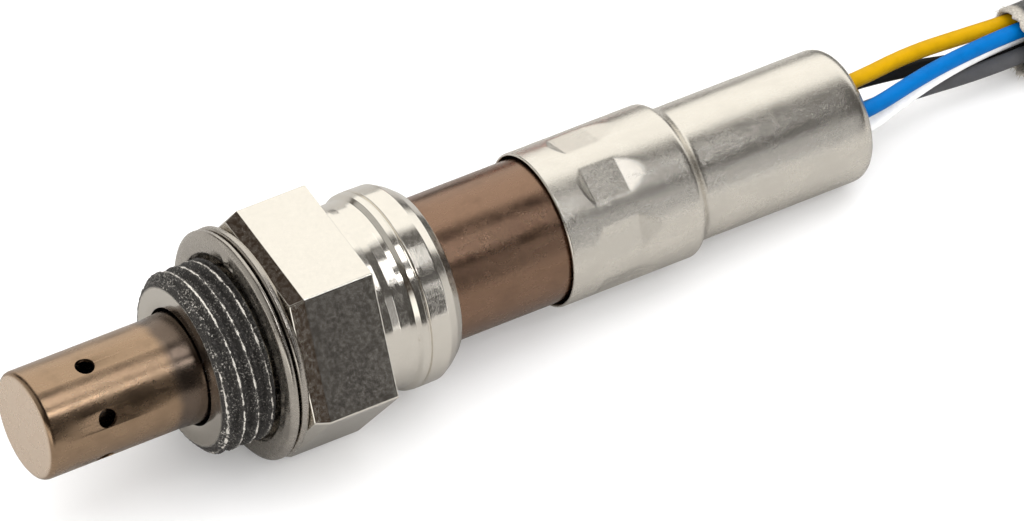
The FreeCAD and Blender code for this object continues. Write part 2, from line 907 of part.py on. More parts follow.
def housing_ribs():
    """Grip ribs on both sides of the housing, towards the cord."""
    rear = housing_stations()[0]
    width = housing_width + 2 * grip_rib_height
    height = housing_height - 2 * housing_corner
    ribs = []
    for number in range(grip_rib_count):
        end = rear - grip_rib_pitch * (number + 0.5)
        ribs.append(block(end - grip_rib_width, end, width, height))
    return ribs


def housing_latch():
    """A springy arm on the housing's top, on a foot at its cord end, with a catch at its front."""
    rear = housing_stations()[0] - grip_rib_pitch / 2
    top = housing_height / 2
    arm_low = top + latch_gap
    arm_high = arm_low + latch_thickness
    catch_high = arm_high + latch_catch_height
    face = outline([
        (rear, top - past),
        (rear, arm_high),
        (rear - latch_length + latch_catch_length, arm_high),
        (rear - latch_length + latch_catch_length, catch_high),
        (rear - latch_length, arm_low),
        (rear - latch_foot_length, arm_low),
        (rear - latch_foot_length, top - past),
    ], lambda x, z: V(x, -latch_width / 2, z))
    return face.extrude(V(0, latch_width, 0))


def connector_housing():
    """The plug's body with grip ribs and latch, and its nose with five terminal ports."""
    rear, front, tip = housing_stations()
    body = rounded_block(front, rear, housing_width, housing_height, housing_corner)
    nose = rounded_block(tip, front, nose_width, nose_height, nose_corner)
    body = body.fuse([nose, housing_latch()] + housing_ribs())
    ports = [block(tip - past, tip + port_depth, port_size, port_size, place) for place in port_places()]
    boot_recess = disc(rear - boot_seat, rear + past, boot_large_radius + slip)
    return body.cut(ports + [boot_recess, lock_block(slip)])


def connector_seal():
    """A silicone ring round the nose, with two ribs, against the housing's front face."""
    front = housing_stations()[1]
    width = nose_width + 2 * press
    height = nose_height + 2 * press
    band = 2 * seal_thickness
    ribbed = band + 2 * seal_rib_height
    body = rounded_block(front - seal_length, front, width + band, height + band, nose_corner + seal_thickness)
    for end in (front - seal_rib_length / 2, front - seal_length / 2 - seal_rib_length / 2):
        body = body.fuse(rounded_block(end - seal_rib_length, end, width + ribbed, height + ribbed,
                                       nose_corner + seal_thickness + seal_rib_height))
    hole = rounded_block(front - seal_length - past, front + past, width, height, nose_corner + press)
    return body.cut(hole)


def connector_contacts():
    """Five socket terminals, one in each port."""
    tip = housing_stations()[2]
    terminals = []
    for place in port_places():
        body = block(tip + terminal_inset, tip + port_depth, terminal_size, terminal_size, place)
        socket = rod(tip, tip + port_depth - terminal_inset, terminal_hole_radius, place)
        terminals.append(body.cut(socket))
    return Part.makeCompound(terminals)


def lead_pieces():
    """The five wires, the sheath, its coil and tail, and the connector, in the finished frame."""
    nodes = {}
    for colour, route in wire_routes.items():
        nodes["wire_" + colour] = cord("wire_" + colour, route, wire_radius)
    nodes["sheath"] = sheath()
    nodes["sheath_coil"] = sheath_coil()
    nodes["sheath_tail"] = cord("sheath_tail", tail_route, sheath_radius)
    nodes["coil_tie"] = coil_tie()
    connector = {
        "connector_boot": connector_boot(),
        "connector_housing": connector_housing(),
        "connector_seal": connector_seal(),
        "connector_lock": lock_block(0),
        "connector_contacts": connector_contacts(),
    }
    for name, shape in connector.items():
        shape.translate(V(*connector_end))
        nodes[name] = shape
    return nodes


def main():
    nodes = sensor_pieces()
    lay_down(nodes)
    nodes.update(lead_pieces())
    os.makedirs("parts", exist_ok=True)
    for name, shape in nodes.items():
        shape.exportStep("parts/%s.step" % name)
    print("%d nodes" % len(nodes))


main()
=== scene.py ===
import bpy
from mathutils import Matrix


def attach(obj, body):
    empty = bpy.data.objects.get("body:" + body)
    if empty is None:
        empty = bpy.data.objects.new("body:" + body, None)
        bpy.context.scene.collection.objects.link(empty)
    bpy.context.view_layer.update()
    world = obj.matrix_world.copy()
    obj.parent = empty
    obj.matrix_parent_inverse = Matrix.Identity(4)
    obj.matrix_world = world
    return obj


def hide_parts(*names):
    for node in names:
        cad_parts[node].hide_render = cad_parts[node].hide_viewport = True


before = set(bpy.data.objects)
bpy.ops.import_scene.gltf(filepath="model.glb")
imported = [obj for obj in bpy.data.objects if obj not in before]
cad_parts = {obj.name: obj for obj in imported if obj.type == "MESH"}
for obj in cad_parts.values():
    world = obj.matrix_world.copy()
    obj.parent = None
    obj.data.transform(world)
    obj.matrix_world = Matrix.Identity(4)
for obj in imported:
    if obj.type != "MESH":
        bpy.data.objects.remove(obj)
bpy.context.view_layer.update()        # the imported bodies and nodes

import random
from math import atan2, cos, exp, hypot, log, pi, radians, sin, sqrt, tan

import bmesh
import bpy
from mathutils import Matrix, Vector, noise

bl_info = {
    "name": "Oxygen sensor",
    "version": (1, 0, 0),
    "blender": (4, 5, 0),
    "location": "View3D > Sidebar > Sensor",
    "description": "Builds a five-wire exhaust oxygen sensor and its studio stage",
    "category": "Add Mesh",
}

# How the sensor lies: nose up a little, with its hexagon and the rear edge of its cap on the floor
mm = 0.001
lean = radians(4.5378)
axis_shift = -18.9121
axis_height = 11.5352

# The turn about the sensor's axis, from +Y to +Z, that faces the camera
camera_turn = radians(127.36)

# How finely rounded edges and turned pieces are divided, and how much of a straight an edge may take
edge_steps = 4
edge_support = 0.03
edge_share = 0.47
even_turns = [radians(number * 2) for number in range(180)]
fine_turns = [radians(number) for number in range(360)]


def on_axis(x, y, z):
    """A point of the sensor's own frame, whose X is its axis, in millimetres, as a place in the scene."""
    return Vector((
        x * cos(lean) + z * sin(lean) + axis_shift,
        y,
        z * cos(lean) - x * sin(lean) + axis_height,
    )) * mm


def turned_place(x, turn, radius):
    return on_axis(x, radius * cos(turn), radius * sin(turn))


def off_axis(point):
    """The station, turn and radius of a place in the scene, in the sensor's own frame."""
    x = point[0] / mm - axis_shift
    z = point[2] / mm - axis_height
    across = x * sin(lean) + z * cos(lean)
    y = point[1] / mm
    return x * cos(lean) - z * sin(lean), atan2(across, y), hypot(y, across)


def smooth(low, high, value):
    """Rises from 0 at low to 1 at high, level at both."""
    share = min(max((value - low) / (high - low), 0.0), 1.0)
    return share * share * (3 - 2 * share)


def add_object(name, data):
    made = bpy.data.objects.new(name, data)
    bpy.context.scene.collection.objects.link(made)
    return made


def stored(name, bm):
    """A mesh object of what bm holds, with its faces pointing outwards."""
    bmesh.ops.recalc_face_normals(bm, faces=bm.faces)
    mesh = bpy.data.meshes.new(name)
    bm.to_mesh(mesh)
    bm.free()
    return add_object(name, mesh)


def skin(bm, rows, closed=False):
    """Faces between rows of points; a row whose points all meet is a pole."""
    made = [[bm.verts.new(point) for point in row] for row in rows]
    pairs = list(zip(made, made[1:]))
    if closed:
        pairs.append((made[-1], made[0]))
    for here, there in pairs:
        for number in range(len(here)):
            after = (number + 1) % len(here)
            bm.faces.new((here[number], here[after], there[after], there[number]))


def shaded(made, sharp):
    """Shades an object smooth, up to the sharp angle in degrees."""
    made.data.shade_smooth()
    made.data.set_sharp_from_angle(angle=radians(sharp))
    return made


def smoothed(name, bm, sharp):
    """Welds a mesh, points its faces outwards and shades it smooth."""
    bmesh.ops.remove_doubles(bm, verts=bm.verts, dist=1e-7)
    return shaded(stored(name, bm), sharp)


def plain_mesh(made):
    """A plain mesh of an object and its modifiers."""
    graph = bpy.context.evaluated_depsgraph_get()
    return bpy.data.meshes.new_from_object(made.evaluated_get(graph))


def applied(made):
    """Turns an object and its modifiers into a plain mesh."""
    mesh = plain_mesh(made)
    made.modifiers.clear()
    made.data = mesh
    return made


def rounded(made, width, segments, above, sharp):
    """Bevels an object's edges above an angle, by a width in millimetres, and shades it."""
    edge = made.modifiers.new("edges", "BEVEL")
    edge.width = width * mm
    edge.segments = segments
    edge.limit_method = "ANGLE"
    edge.angle_limit = radians(above)
    return shaded(applied(made), sharp)


def softened(points, closed=True):
    """The (x, radius) stations of a profile; a third number rounds its corner."""
    stations = []
    for number, point in enumerate(points):
        here = Vector(point[:2])
        size = point[2] if len(point) > 2 else 0
        if size == 0 or (not closed and number in (0, len(points) - 1)):
            stations.append(tuple(here))
            continue
        sides = [Vector(points[(number + step) % len(points)][:2]) - here for step in (-1, 1)]
        ways = [side.normalized() for side in sides]
        bend = sides[0].angle(sides[1])
        reach = min(size / tan(bend / 2), *(edge_share * side.length for side in sides))
        size = reach * tan(bend / 2)
        centre = here + (ways[0] + ways[1]).normalized() * size / sin(bend / 2)
        ends = [here + way * reach for way in ways]
        first, last = (atan2(*reversed(end - centre)) for end in ends)
        sweep = (last - first + pi) % (2 * pi) - pi
        angles = [first + sweep * step / edge_steps for step in range(edge_steps + 1)]
        arc = [(centre.x + size * cos(angle), centre.y + size * sin(angle)) for angle in angles]
        supports = []
        for end, way, side in zip(ends, ways, sides):
            beyond = tuple(end + way * min(edge_support, side.length / 30))
            supports.append([beyond] if side.length > 4 * edge_support else [])
        stations += supports[0] + arc + supports[1]
    return stations


def lathe(name, stations, turns=even_turns, closed=True, sharp=35.0):
    """A skin through rings; a station is (x, radius), or a function that gives them at a turn."""
    bm = bmesh.new()
    rows = []
    for station in stations:
        places = (station(turn) if callable(station) else station for turn in turns)
        rows.append([turned_place(x, turn, radius) for turn, (x, radius) in zip(turns, places)])
    skin(bm, rows, closed)
    return smoothed(name, bm, sharp)


def fit(piece, material, slot, *nodes):
    """Gives a piece its material and body, and hides the nodes that it stands for."""
    piece.data.materials.clear()
    piece.data.materials.append(material)
    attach(piece, "root")
    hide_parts(*nodes)
    return piece


def paint(red, green, blue):
    """A colour as it is seen on a screen, from 0 to 255, as linear light."""
    return tuple(((part / 255 + 0.055) / 1.055) ** 2.4 if part > 10 else part / 255 / 12.92
                 for part in (red, green, blue))


def shade(colour, share):
    """A colour at a share of its brightness."""
    return tuple(part * share for part in colour)


# Node trees: a number or colour that a node gives takes part in sums and products

class Signal:
    """One output of a node; a sum or product of it makes the node that works it out."""

    def __init__(self, socket):
        self.socket = socket

    def worked(self, kind, other=0.0):
        return put("Math", {0: self, 1: other}, operation=kind)[0]

    def __add__(self, other):
        return self.worked("ADD", other)

    def __sub__(self, other):
        return self.worked("SUBTRACT", other)

    def __rsub__(self, number):
        return put("Math", {0: number, 1: self}, operation="SUBTRACT")[0]

    def __mul__(self, other):
        return self.worked("MULTIPLY", other)


class Outputs:
    """A node's outputs, by name or number."""

    def __init__(self, node):
        self.node = node

    def __getitem__(self, key):
        return Signal(self.node.outputs[key])


def put(kind, inputs, tree=None, **settings):
    """A new node, a shader's by its short name; a signal is linked to its input, any other input is set."""
    signals = [value for value in inputs.values() if isinstance(value, Signal)]
    tree = tree or signals[0].socket.id_data
    made = tree.nodes.new(kind if "Node" in kind else "ShaderNode" + kind)
    for key, value in settings.items():
        setattr(made, key, value)
    for key, value in inputs.items():
        if isinstance(value, Signal):
            tree.links.new(value.socket, made.inputs[key])
        else:
            made.inputs[key].default_value = value
    return Outputs(made)


def link(shader, **signals):
    """Links signals to the shader's inputs of those names."""
    for key, signal in signals.items():
        shader.id_data.links.new(signal.socket, shader.inputs[key.replace("_", " ")])


def new_finish(name, **values):
    """A material and its shader, with the shader's plain values."""
    material = bpy.data.materials.new(name)
    material.use_nodes = True
    shader = material.node_tree.nodes["Principled BSDF"]
    for key, value in values.items():
        shader.inputs[key.replace("_", " ")].default_value = value
    return material, shader


def sensor_position(shader):
    """The shaded point in the sensor's own frame, in millimetres."""
    here = put("TexCoord", {}, shader.id_data)["Object"]
    inputs = {"Vector": here, "Location": on_axis(0, 0, 0), "Rotation": (0, lean, 0), "Scale": (mm, mm, mm)}
    return put("Mapping", inputs, vector_type="TEXTURE")[0]


def row_position(shader):
    """The shaded point in the scene's frame, in millimetres."""
    here = put("TexCoord", {}, shader.id_data)["Object"]
    return put("Mapping", {"Vector": here, "Scale": (1 / mm, 1 / mm, 1 / mm)})[0]


def grain(position, size, detail=3.0, roughness=0.55, shift=0.0):
    """Noise whose grains are about size millimetres along each axis."""
    size = size if isinstance(size, tuple) else (size, size, size)
    scale = tuple(1 / part for part in size)
    mapped = put("Mapping", {"Vector": position, "Location": (shift, shift, shift), "Scale": scale})[0]
    inputs = {"Vector": mapped, "Scale": 1.0, "Detail": detail, "Roughness": roughness}
    return put("TexNoise", inputs)["Fac"]


def ramp(factor, *stops):
    """A colour ramp over (place, colour) stops."""
    made = put("ValToRGB", {"Fac": factor})
    elements = made.node.color_ramp.elements
    while len(elements) < len(stops):
        elements.new(1.0)
    for element, (where, colour) in zip(elements, stops):
        element.position = where
        element.color = (*colour, 1.0)
    return made["Color"]


def tones(factor, colour, *stops):
    """A colour ramp over (place, share of the colour's brightness) stops."""
    return ramp(factor, *((where, shade(colour, share)) for where, share in stops))


def span(value, low, high, to_low=0.0, to_high=1.0):
    """A value from low to high, as one from to_low to to_high."""
    inputs = {"Value": value, "From Min": low, "From Max": high, "To Min": to_low, "To Max": to_high}
    return put("MapRange", inputs, interpolation_type="SMOOTHSTEP")[0]


def mixed(factor, first, second):
    """The first colour at factor 0 and the second at 1."""
    first, second = ((*colour, 1.0) if isinstance(colour, tuple) else colour for colour in (first, second))
    return put("Mix", {0: factor, 6: first, 7: second}, data_type="RGBA")[2]


def between(factor, first, second):
    """The first number at factor 0 and the second at 1."""
    return put("Mix", {0: factor, 2: first, 3: second}, data_type="FLOAT")[0]


def bumped(shader, *layers):
    """Raises the surface by (height, depth in millimetres) layers."""
    normal = {}
    for height, depth in layers:
        raised = put("Bump", {"Height": height, "Distance": depth * mm, "Strength": 1.0, **normal})
        normal = {"Normal": raised["Normal"]}
    link(shader, **normal)


def axis_parts(position):
    """The station along the sensor's axis and the distance from it."""
    parts = put("SeparateXYZ", {"Vector": position})
    return parts[0], (parts[1] * parts[1] + parts[2] * parts[2]).worked("SQRT")


# Materials; a grain's numbers are its size, detail, roughness and shift

def plated_steel(name, colour, rough_low, rough_high, turned_marks=0.004, pits=0.004):
    """Bright plating over turned steel: fine marks round the axis, faint clouds and pits."""
    material, shader = new_finish(name, Metallic=1.0)
    where = sensor_position(shader)
    marks = grain(where, (0.09, 2.5, 2.5), 4.0, 0.6)
    clouds = grain(where, 1.6, 4.0, 0.6, 3.0)
    specks = grain(where, 0.16, 3.0, 0.6, 7.0)
    tone = tones(clouds, colour, (0.3, 0.86), (0.5, 0.97), (0.72, 1.06))
    link(shader, Base_Color=tone, Roughness=span(clouds * specks, 0.15, 0.4, rough_low, rough_high))
    bumped(shader, (marks, turned_marks), (specks, pits))
    return material


def satin_nickel(colour):
    """Nickel over drawn sheet: a satin grain of short fine streaks, with clouds in its tone and gloss."""
    material, shader = new_finish("satin_nickel", Metallic=1.0, Anisotropic=0.35)
    where = sensor_position(shader)
    streaks = grain(where, (0.5, 0.12, 0.12), 4.0, 0.7)
    fine = grain(where, 0.09, 2.0, 0.7, 5.0)
    clouds = grain(where, (3.5, 2.0, 2.0), 4.0, 0.6, 9.0)
    tone = tones(clouds, colour, (0.3, 0.93), (0.52, 0.99), (0.75, 1.05))
    link(shader, Base_Color=tone, Roughness=span(clouds + fine * 0.7, 0.5, 1.2, 0.22, 0.3))
    bumped(shader, (streaks, 0.005), (fine, 0.009))
    return material


def tinted_steel(name, colour, dark, rough, ends=None):
    """Steel coloured by heat, cloudy; ends are the stations and colours of a tube's face and skirt."""
    material, shader = new_finish(name, Metallic=1.0)
    where = sensor_position(shader)
    clouds = grain(where, (3.0, 1.8, 1.8), 5.0, 0.62)
    marks = grain(where, (0.07, 1.5, 1.5), 3.0, 0.6, 2.0)
    specks = grain(where, 0.14, 3.0, 0.65, 4.0)
    tone = ramp(clouds, (0.28, dark), (0.5, colour), (0.74, shade(colour, 1.12)))
    fleck = tones(specks, colour, (0.36, 0.8), (0.48, 1), (0.7, 1))
    tone = mixed(0.35, tone, fleck)
    if ends:
        station, _ = axis_parts(where)
        face, face_colour, skirt, skirt_colour = ends
        tone = mixed(span(station, face, face + 0.15, 1.0, 0.0), tone, face_colour)
        tone = mixed(span(station + clouds * 1.2, skirt - 0.4, skirt + 0.9), tone, skirt_colour)
    link(shader, Base_Color=tone, Roughness=span(clouds, 0.3, 0.7, rough - 0.04, rough + 0.07))
    bumped(shader, (marks, 0.004), (specks, 0.003))
    return material


def worn_off(station, grit, away, where):
    """Where the thread's compound is rubbed down to the plating: thin lines along the crests, and specks."""
    rubbed = grain(where, (0.35, 0.9, 0.9), 5.0, 0.7, 17.0)
    patches = grain(where, 1.6, 4.0, 0.65, 23.0)
    ragged = (grit - 0.5) * 0.18
    crest_line = span(away + ragged + span(rubbed, 0.38, 0.62, 0.055, -0.03), 0.035, 0.06, 1.0, 0.0)
    towards_tip = span(station, -8.3, -7.0, 1.0, 0.45)
    specks = span(grit + (patches - 0.5) * 0.35, 0.585, 0.63) * towards_tip
    return crest_line.worked("MAXIMUM", specks)


def coated_thread(nickel, coat):
    """The shell: bright plating on the hexagon and collar, and a dark gritty compound over the thread."""
    material, shader = new_finish("shell_plating", Metallic=1.0)
    where = sensor_position(shader)
    station, radius = axis_parts(where)
    away = put("Attribute", {}, shader.id_data, attribute_name="from_crest")["Fac"]
    marks = grain(where, (0.09, 2.5, 2.5), 4.0, 0.6)
    clouds = grain(where, 0.42, 3.0, 0.6, 3.0)
    grit = grain(where, 0.2, 6.0, 0.72, 11.0)

    # Plating: nearly even, a little cloudy, and duller on the front face
    bright = tones(clouds, nickel, (0.36, 0.97), (0.5, 1), (0.66, 1.03))
    bright = mixed(span(station, -9.0, -8.95, 0.18, 0.0), bright, paint(120, 112, 106))

    # Compound: charcoal with grit, from the gasket to the rim of the front face
    black = tones(grit, coat, (0.34, 0.35), (0.5, 1), (0.62, 2.2))
    behind_face = span(radius + grit * 0.6, 8.1, 8.35)
    coat_here = span(station + grit * 0.5, -3.6, -3.4, 1.0, 0.0) * behind_face
    worn = worn_off(station, grit, away, where)
    covered = coat_here * (1.0 - worn)

    # Painted shade: the bore round the gas tube, a narrow recess, is painted darker than the compound, at a
    # third of its colour
    inner_wall = span(radius, 6.36, 6.5, 1.0, 0.0) * span(station, -9.0, -8.9)
    bore = span(radius, 5.88, 5.94, 1.0, 0.0).worked("MAXIMUM", inner_wall)
    covered = covered.worked("MAXIMUM", bore)
    black = mixed(bore, black, shade(coat, 0.35))

    plated = between(coat_here * worn, span(clouds, 0.38, 0.62, 1.0, 0.975), 0.45)
    link(shader, Base_Color=mixed(covered, bright, black), Metallic=between(covered, plated, 0.35),
         Roughness=between(covered, span(clouds, 0.3, 0.7, 0.1, 0.17), 0.5))
    bumped(shader, (marks, 0.002), (clouds, 0.002), (grit * coat_here, 0.08))
    return material


def moulded(name, colour, rough, size=0.35, depth=0.01, sheen=0.0, gloss=0.5):
    """Moulded rubber, plastic or wire insulation: faint clouds of tone, and a fine skin."""
    material, shader = new_finish(name, Sheen_Weight=sheen, Specular_IOR_Level=gloss)
    where = row_position(shader)
    clouds = grain(where, size * 5, 4.0, 0.6)
    fine = grain(where, size, 4.0, 0.6, 5.0)
    tone = tones(clouds, colour, (0.3, 0.9), (0.5, 1), (0.72, 1.06))
    link(shader, Base_Color=tone, Roughness=span(fine, 0.3, 0.7, rough - 0.06, rough + 0.08))
    bumped(shader, (clouds, depth * 2), (fine, depth))
    return material


def ceramic(name, colour, rough=0.5):
    """Fired ceramic or pressed powder: pale, with pores and a fine tooth."""
    material, shader = new_finish(name)
    where = row_position(shader)
    pores = grain(where, 0.25, 5.0, 0.7)
    clouds = grain(where, 2.2, 4.0, 0.6, 3.0)
    tone = tones(clouds, colour, (0.3, 0.85), (0.7, 1.03))
    link(shader, Base_Color=tone, Roughness=span(pores, 0.3, 0.7, rough, rough + 0.2))
    bumped(shader, (pores, 0.02))
    return material


def woven_sleeve(dark, pale):
    """The lead's sleeve: a tight glass braid in dark varnish, pale and bare at its cut mouth."""
    strands_round = 16.0
    strands_along = 0.9
    material, shader = new_finish("sleeve_braid", Roughness=0.62, Sheen_Weight=0.15)
    surface = put("UVMap", {}, shader.id_data, uv_map="along_and_round")[0]
    parts = put("SeparateXYZ", {"Vector": surface})
    along = parts[0]
    strands = []
    for hand in (1.0, -1.0):
        lay = along * strands_along + parts[1] * (hand * strands_round)
        strands.append(span((lay * (2 * pi)).worked("SINE"), -1.0, 1.0))
    braid = strands[0].worked("MAXIMUM", strands[1])
    where = row_position(shader)
    fuzz = grain(where, 0.22, 5.0, 0.7)
    clouds = grain(where, 2.5, 4.0, 0.6, 5.0)
    tone = tones(clouds, dark, (0.3, 0.7), (0.7, 1.3))
    tone = mixed(span(fuzz, 0.55, 0.75, 0.0, 0.3), tone, pale)
    # Painted shade: the gaps between the braid's strands are darkened towards a third of the varnish's colour
    tone = mixed(span(braid, 0.0, 1.0, 0.45, 0.0), tone, shade(dark, 0.35))
    mouth = span(along + fuzz * 1.6, 1.5, 2.1, 1.0, 0.0)
    frayed = tones(fuzz, pale, (0.3, 0.45), (0.65, 1))
    link(shader, Base_Color=mixed(mouth, tone, frayed))
    bumped(shader, (braid, 0.09), (fuzz, 0.06))
    return material


# Geometry nodes

def node_group(name, inputs):
    """An empty geometry tree with named inputs (name, kind, default); gives its inputs and its end node."""
    tree = bpy.data.node_groups.new(name, "GeometryNodeTree")
    for way in ("INPUT", "OUTPUT"):
        tree.interface.new_socket("Geometry", in_out=way, socket_type="NodeSocketGeometry")
    for label, kind, default in inputs:
        socket = tree.interface.new_socket(label, in_out="INPUT", socket_type="NodeSocket" + kind)
        if default is not None:
            socket.default_value = default
    return tree, Outputs(tree.nodes.new("NodeGroupInput")), tree.nodes.new("NodeGroupOutput")


def random_share(start, lowest):
    """A number from lowest to 1 for each point, by the tree's seed."""
    return put("FunctionNodeRandomValue", {2: lowest, 3: 1.0, "Seed": start["Seed"]}, data_type="FLOAT")[1]


def laid_out(start, end, **instances):
    """Ends a tree: puts its instances on points, and turns them into plain faces of the tree's material."""
    laid = put("GeometryNodeInstanceOnPoints", instances)[0]
    real = put("GeometryNodeRealizeInstances", {"Geometry": laid})[0]
    done = put("GeometryNodeSetMaterial", {"Geometry": real, "Material": start["Material"]})[0]
    end.id_data.links.new(done.socket, end.inputs[0])


def grown(base, tree, inputs):
    """Runs a geometry tree on a mesh object with inputs by name, and leaves a plain mesh."""
    modifier = base.modifiers.new("growth", "NODES")
    modifier.node_group = tree
    for item in tree.interface.items_tree:
        if item.item_type == "SOCKET" and item.in_out == "INPUT" and item.name in inputs:
            modifier[item.identifier] = inputs[item.name]
    return applied(base)


def scatter_tree():
    """Small faceted grains over a mesh, lying flat on it, each sized at random."""
    smallest_grain, widening = 0.35, 1.5
    tree, start, end = node_group("compound_grains", [
        ("Grains per square metre", "Float", 2.0e6), ("Grain size", "Float", 0.0001),
        ("Flatness", "Float", 0.4), ("Seed", "Int", 0), ("Material", "Material", None)])
    spread = put("GeometryNodeDistributePointsOnFaces",
                 {"Mesh": start["Geometry"], "Density": start["Grains per square metre"],
                  "Seed": start["Seed"]}, distribute_method="RANDOM")
    ball = put("GeometryNodeMeshIcoSphere", {"Radius": start["Grain size"], "Subdivisions": 1})["Mesh"]
    share = random_share(start, smallest_grain)
    size = put("CombineXYZ", {0: share * widening, 1: share, 2: share * start["Flatness"]})[0]
    laid_out(start, end, Points=spread["Points"], Instance=ball, Rotation=spread["Rotation"], Scale=size)
    return tree


def strand_tree():
    """A short tapered strand at each point, along the point's own lay, with random spread and length."""
    tip_radius, shortest_strand = 0.000008, 0.45
    tree, start, end = node_group("frayed_strands", [
        ("Strand length", "Float", 0.0015), ("Strand radius", "Float", 0.00004),
        ("Spread", "Float", 0.5), ("Seed", "Int", 0), ("Material", "Material", None)])
    strand = put("GeometryNodeMeshCone", {
        "Vertices": 4, "Side Segments": 3, "Radius Top": tip_radius,
        "Radius Bottom": start["Strand radius"], "Depth": start["Strand length"]})["Mesh"]
    lay = put("GeometryNodeInputNamedAttribute", {"Name": "lay"}, tree, data_type="FLOAT_VECTOR")[0]
    wander = put("FunctionNodeRandomValue", {0: (-1, -1, -1), 1: (1, 1, 1), "Seed": start["Seed"]},
                 data_type="FLOAT_VECTOR")[0]
    bent = put("VectorMath", {0: wander, "Scale": start["Spread"]}, operation="SCALE")[0]
    way = put("VectorMath", {0: lay, 1: bent}, operation="ADD")[0]
    turn = put("FunctionNodeAlignRotationToVector", {"Vector": way}, axis="Z")[0]
    laid_out(start, end, Points=start["Geometry"], Instance=strand, Rotation=turn,
             Scale=random_share(start, shortest_strand))
    return tree


# The metal shell, in millimetres along its axis and out from it
seat_x = -1.4
thread_rear = -3.9
shell_front = -9.1
thread_major = 9.0
thread_rows = 104
chamfer_length = 0.8
chamfer_depth = 0.95
relief_radius = 7.95
hex_length = 7.4
hex_apothem = 11.0
hex_front_apothem = 10.48
hex_corner = 0.3
hex_rear_edge = 0.09
collar_radius = 9.5
crest_at_camera = -7.43


def hex_radius(turn, apothem):
    """The hexagon's radius at a turn; its corners, every sixth of a turn, are rounded."""
    away = (turn + pi / 6) % (pi / 3) - pi / 6
    centre = (apothem - hex_corner) / cos(pi / 6)
    edge = atan2(hex_corner / 2, centre + hex_corner * cos(pi / 6))
    if abs(away) < edge:
        return centre * cos(away) + sqrt(hex_corner ** 2 - (centre * sin(away)) ** 2)
    return apothem / cos(pi / 6 - abs(away))


def hex_turns():
    """A degree apart, and closer over the hexagon's six rounded corners."""
    turns = set(range(360))
    for corner in range(0, 360, 60):
        for away in (0.23, 0.45, 0.68):
            turns.update(((corner + away) % 360, (corner - away) % 360))
    return [radians(turn) for turn in sorted(turns)]


def from_crest(x, turn, pitch):
    """How far a place on the thread is from its nearest crest, as a share of the pitch."""
    along = (x - crest_at_camera) / pitch - (turn - camera_turn) / (2 * pi)
    return abs((along + 0.5) % 1 - 0.5)


def thread_radius(x, turn, pitch, depth, grit):
    """The coated right-hand thread's radius: rounded crests, filled grooves, and grit in its coat."""
    groove = smooth(0.09, 0.42, from_crest(x, turn, pitch))
    run_out = 1 - smooth(thread_rear - 0.35, thread_rear, x)
    radius = thread_major - depth * groove * run_out
    chamfer_end = shell_front + chamfer_length
    radius = min(radius, thread_major - chamfer_depth * max(0.0, (chamfer_end - x) / chamfer_length))
    point = Vector((x, radius * cos(turn), radius * sin(turn)))
    coat = noise.fractal(point * 3.2, 0.7, 2.1, 4) * grit
    lump = max(0.0, noise.noise(point * 1.1 + Vector((5, 0, 0))) - 0.15) * grit * 1.5
    return min(radius + coat + lump, thread_major + 0.05)


def ringed(x, size):
    """A station of the hexagon: its x, and its apothem."""
    return lambda turn: (x, hex_radius(turn, size))


def hex_stations():
    """The hexagon's rings: its small front edge, its tapered front, and its rear edge."""
    front = [(0, -0.2), (0, -0.09), (0.02, -0.03), (0.07, 0), (0.12, 0.02)]
    rings = [ringed(seat_x + ahead, hex_front_apothem + out) for ahead, out in front]
    taper_end = [(-0.1, 0.038), (-0.04, 0.016), (0.02, 0.003), (0.1, 0)]
    rings += [ringed(x, hex_apothem - inset) for x, inset in taper_end]
    rear = hex_length - hex_rear_edge
    rings.append(ringed(rear - 0.05, hex_apothem))
    for step in range(edge_steps + 1):
        angle = pi / 2 * step / edge_steps
        inset = hex_rear_edge * (1 - cos(angle))
        rings.append(ringed(rear + hex_rear_edge * sin(angle), hex_apothem - inset))
    return rings + [ringed(hex_length, hex_apothem - 0.3)]


def shell_stations(pitch, depth, grit):
    """The shell's rings, out of its bore at the front, over the thread, hexagon and lip, and back inside."""
    stations = [
        (-6.5, 4.3), (-6.5, 6.3), (-8.4, 6.3), (-8.4, 5.85), (shell_front + 0.15, 5.85),
        (shell_front + 0.05, 5.88), (shell_front, 5.98), (shell_front, 7.0), (shell_front, 7.9)]
    for row in range(thread_rows + 1):
        x = shell_front + (thread_rear - shell_front) * row / thread_rows
        stations.append(lambda turn, x=x: (x, thread_radius(x, turn, pitch, depth, grit)))
    stations += softened([
        (thread_rear, thread_major), (thread_rear + 0.45, relief_radius, 0.2), (seat_x, relief_radius, 0.15),
        (seat_x, 8.6),
    ], closed=False)[1:]
    stations += hex_stations()
    stations += softened([
        (hex_length, 9.9), (hex_length, collar_radius, 0.1), (8.9, collar_radius, 0.3), (9.7, 9.4, 0.8),
        (10.8, 9.4, 0.5), (11.35, 9.46, 0.12), (11.75, 9.82, 0.08), (12.35, 9.9, 0.05), (12.45, 9.7, 0.03),
        (12.6, 9.7, 0.03), (12.7, 9.9, 0.1), (14.7, 9.86, 0.25), (15.7, 9.3, 0.6), (16.7, 8.5, 0.7),
        (16.95, 7.7, 0.3),
    ], closed=False)
    inside = [(16.95, 7.25), (14.2, 7.25), (14.2, 9.0), (8.0, 9.0), (8.0, 6.2), (-4.0, 6.2), (-4.0, 4.3)]
    return stations + inside


def length_setting(name, description, length, low=0.0):
    return bpy.props.FloatProperty(name=name, description=description, default=length, min=low, unit="LENGTH")


def colour_setting(name, description, colour):
    return bpy.props.FloatVectorProperty(
        name=name, description=description, default=paint(*colour), subtype="COLOR", min=0.0, max=1.0)


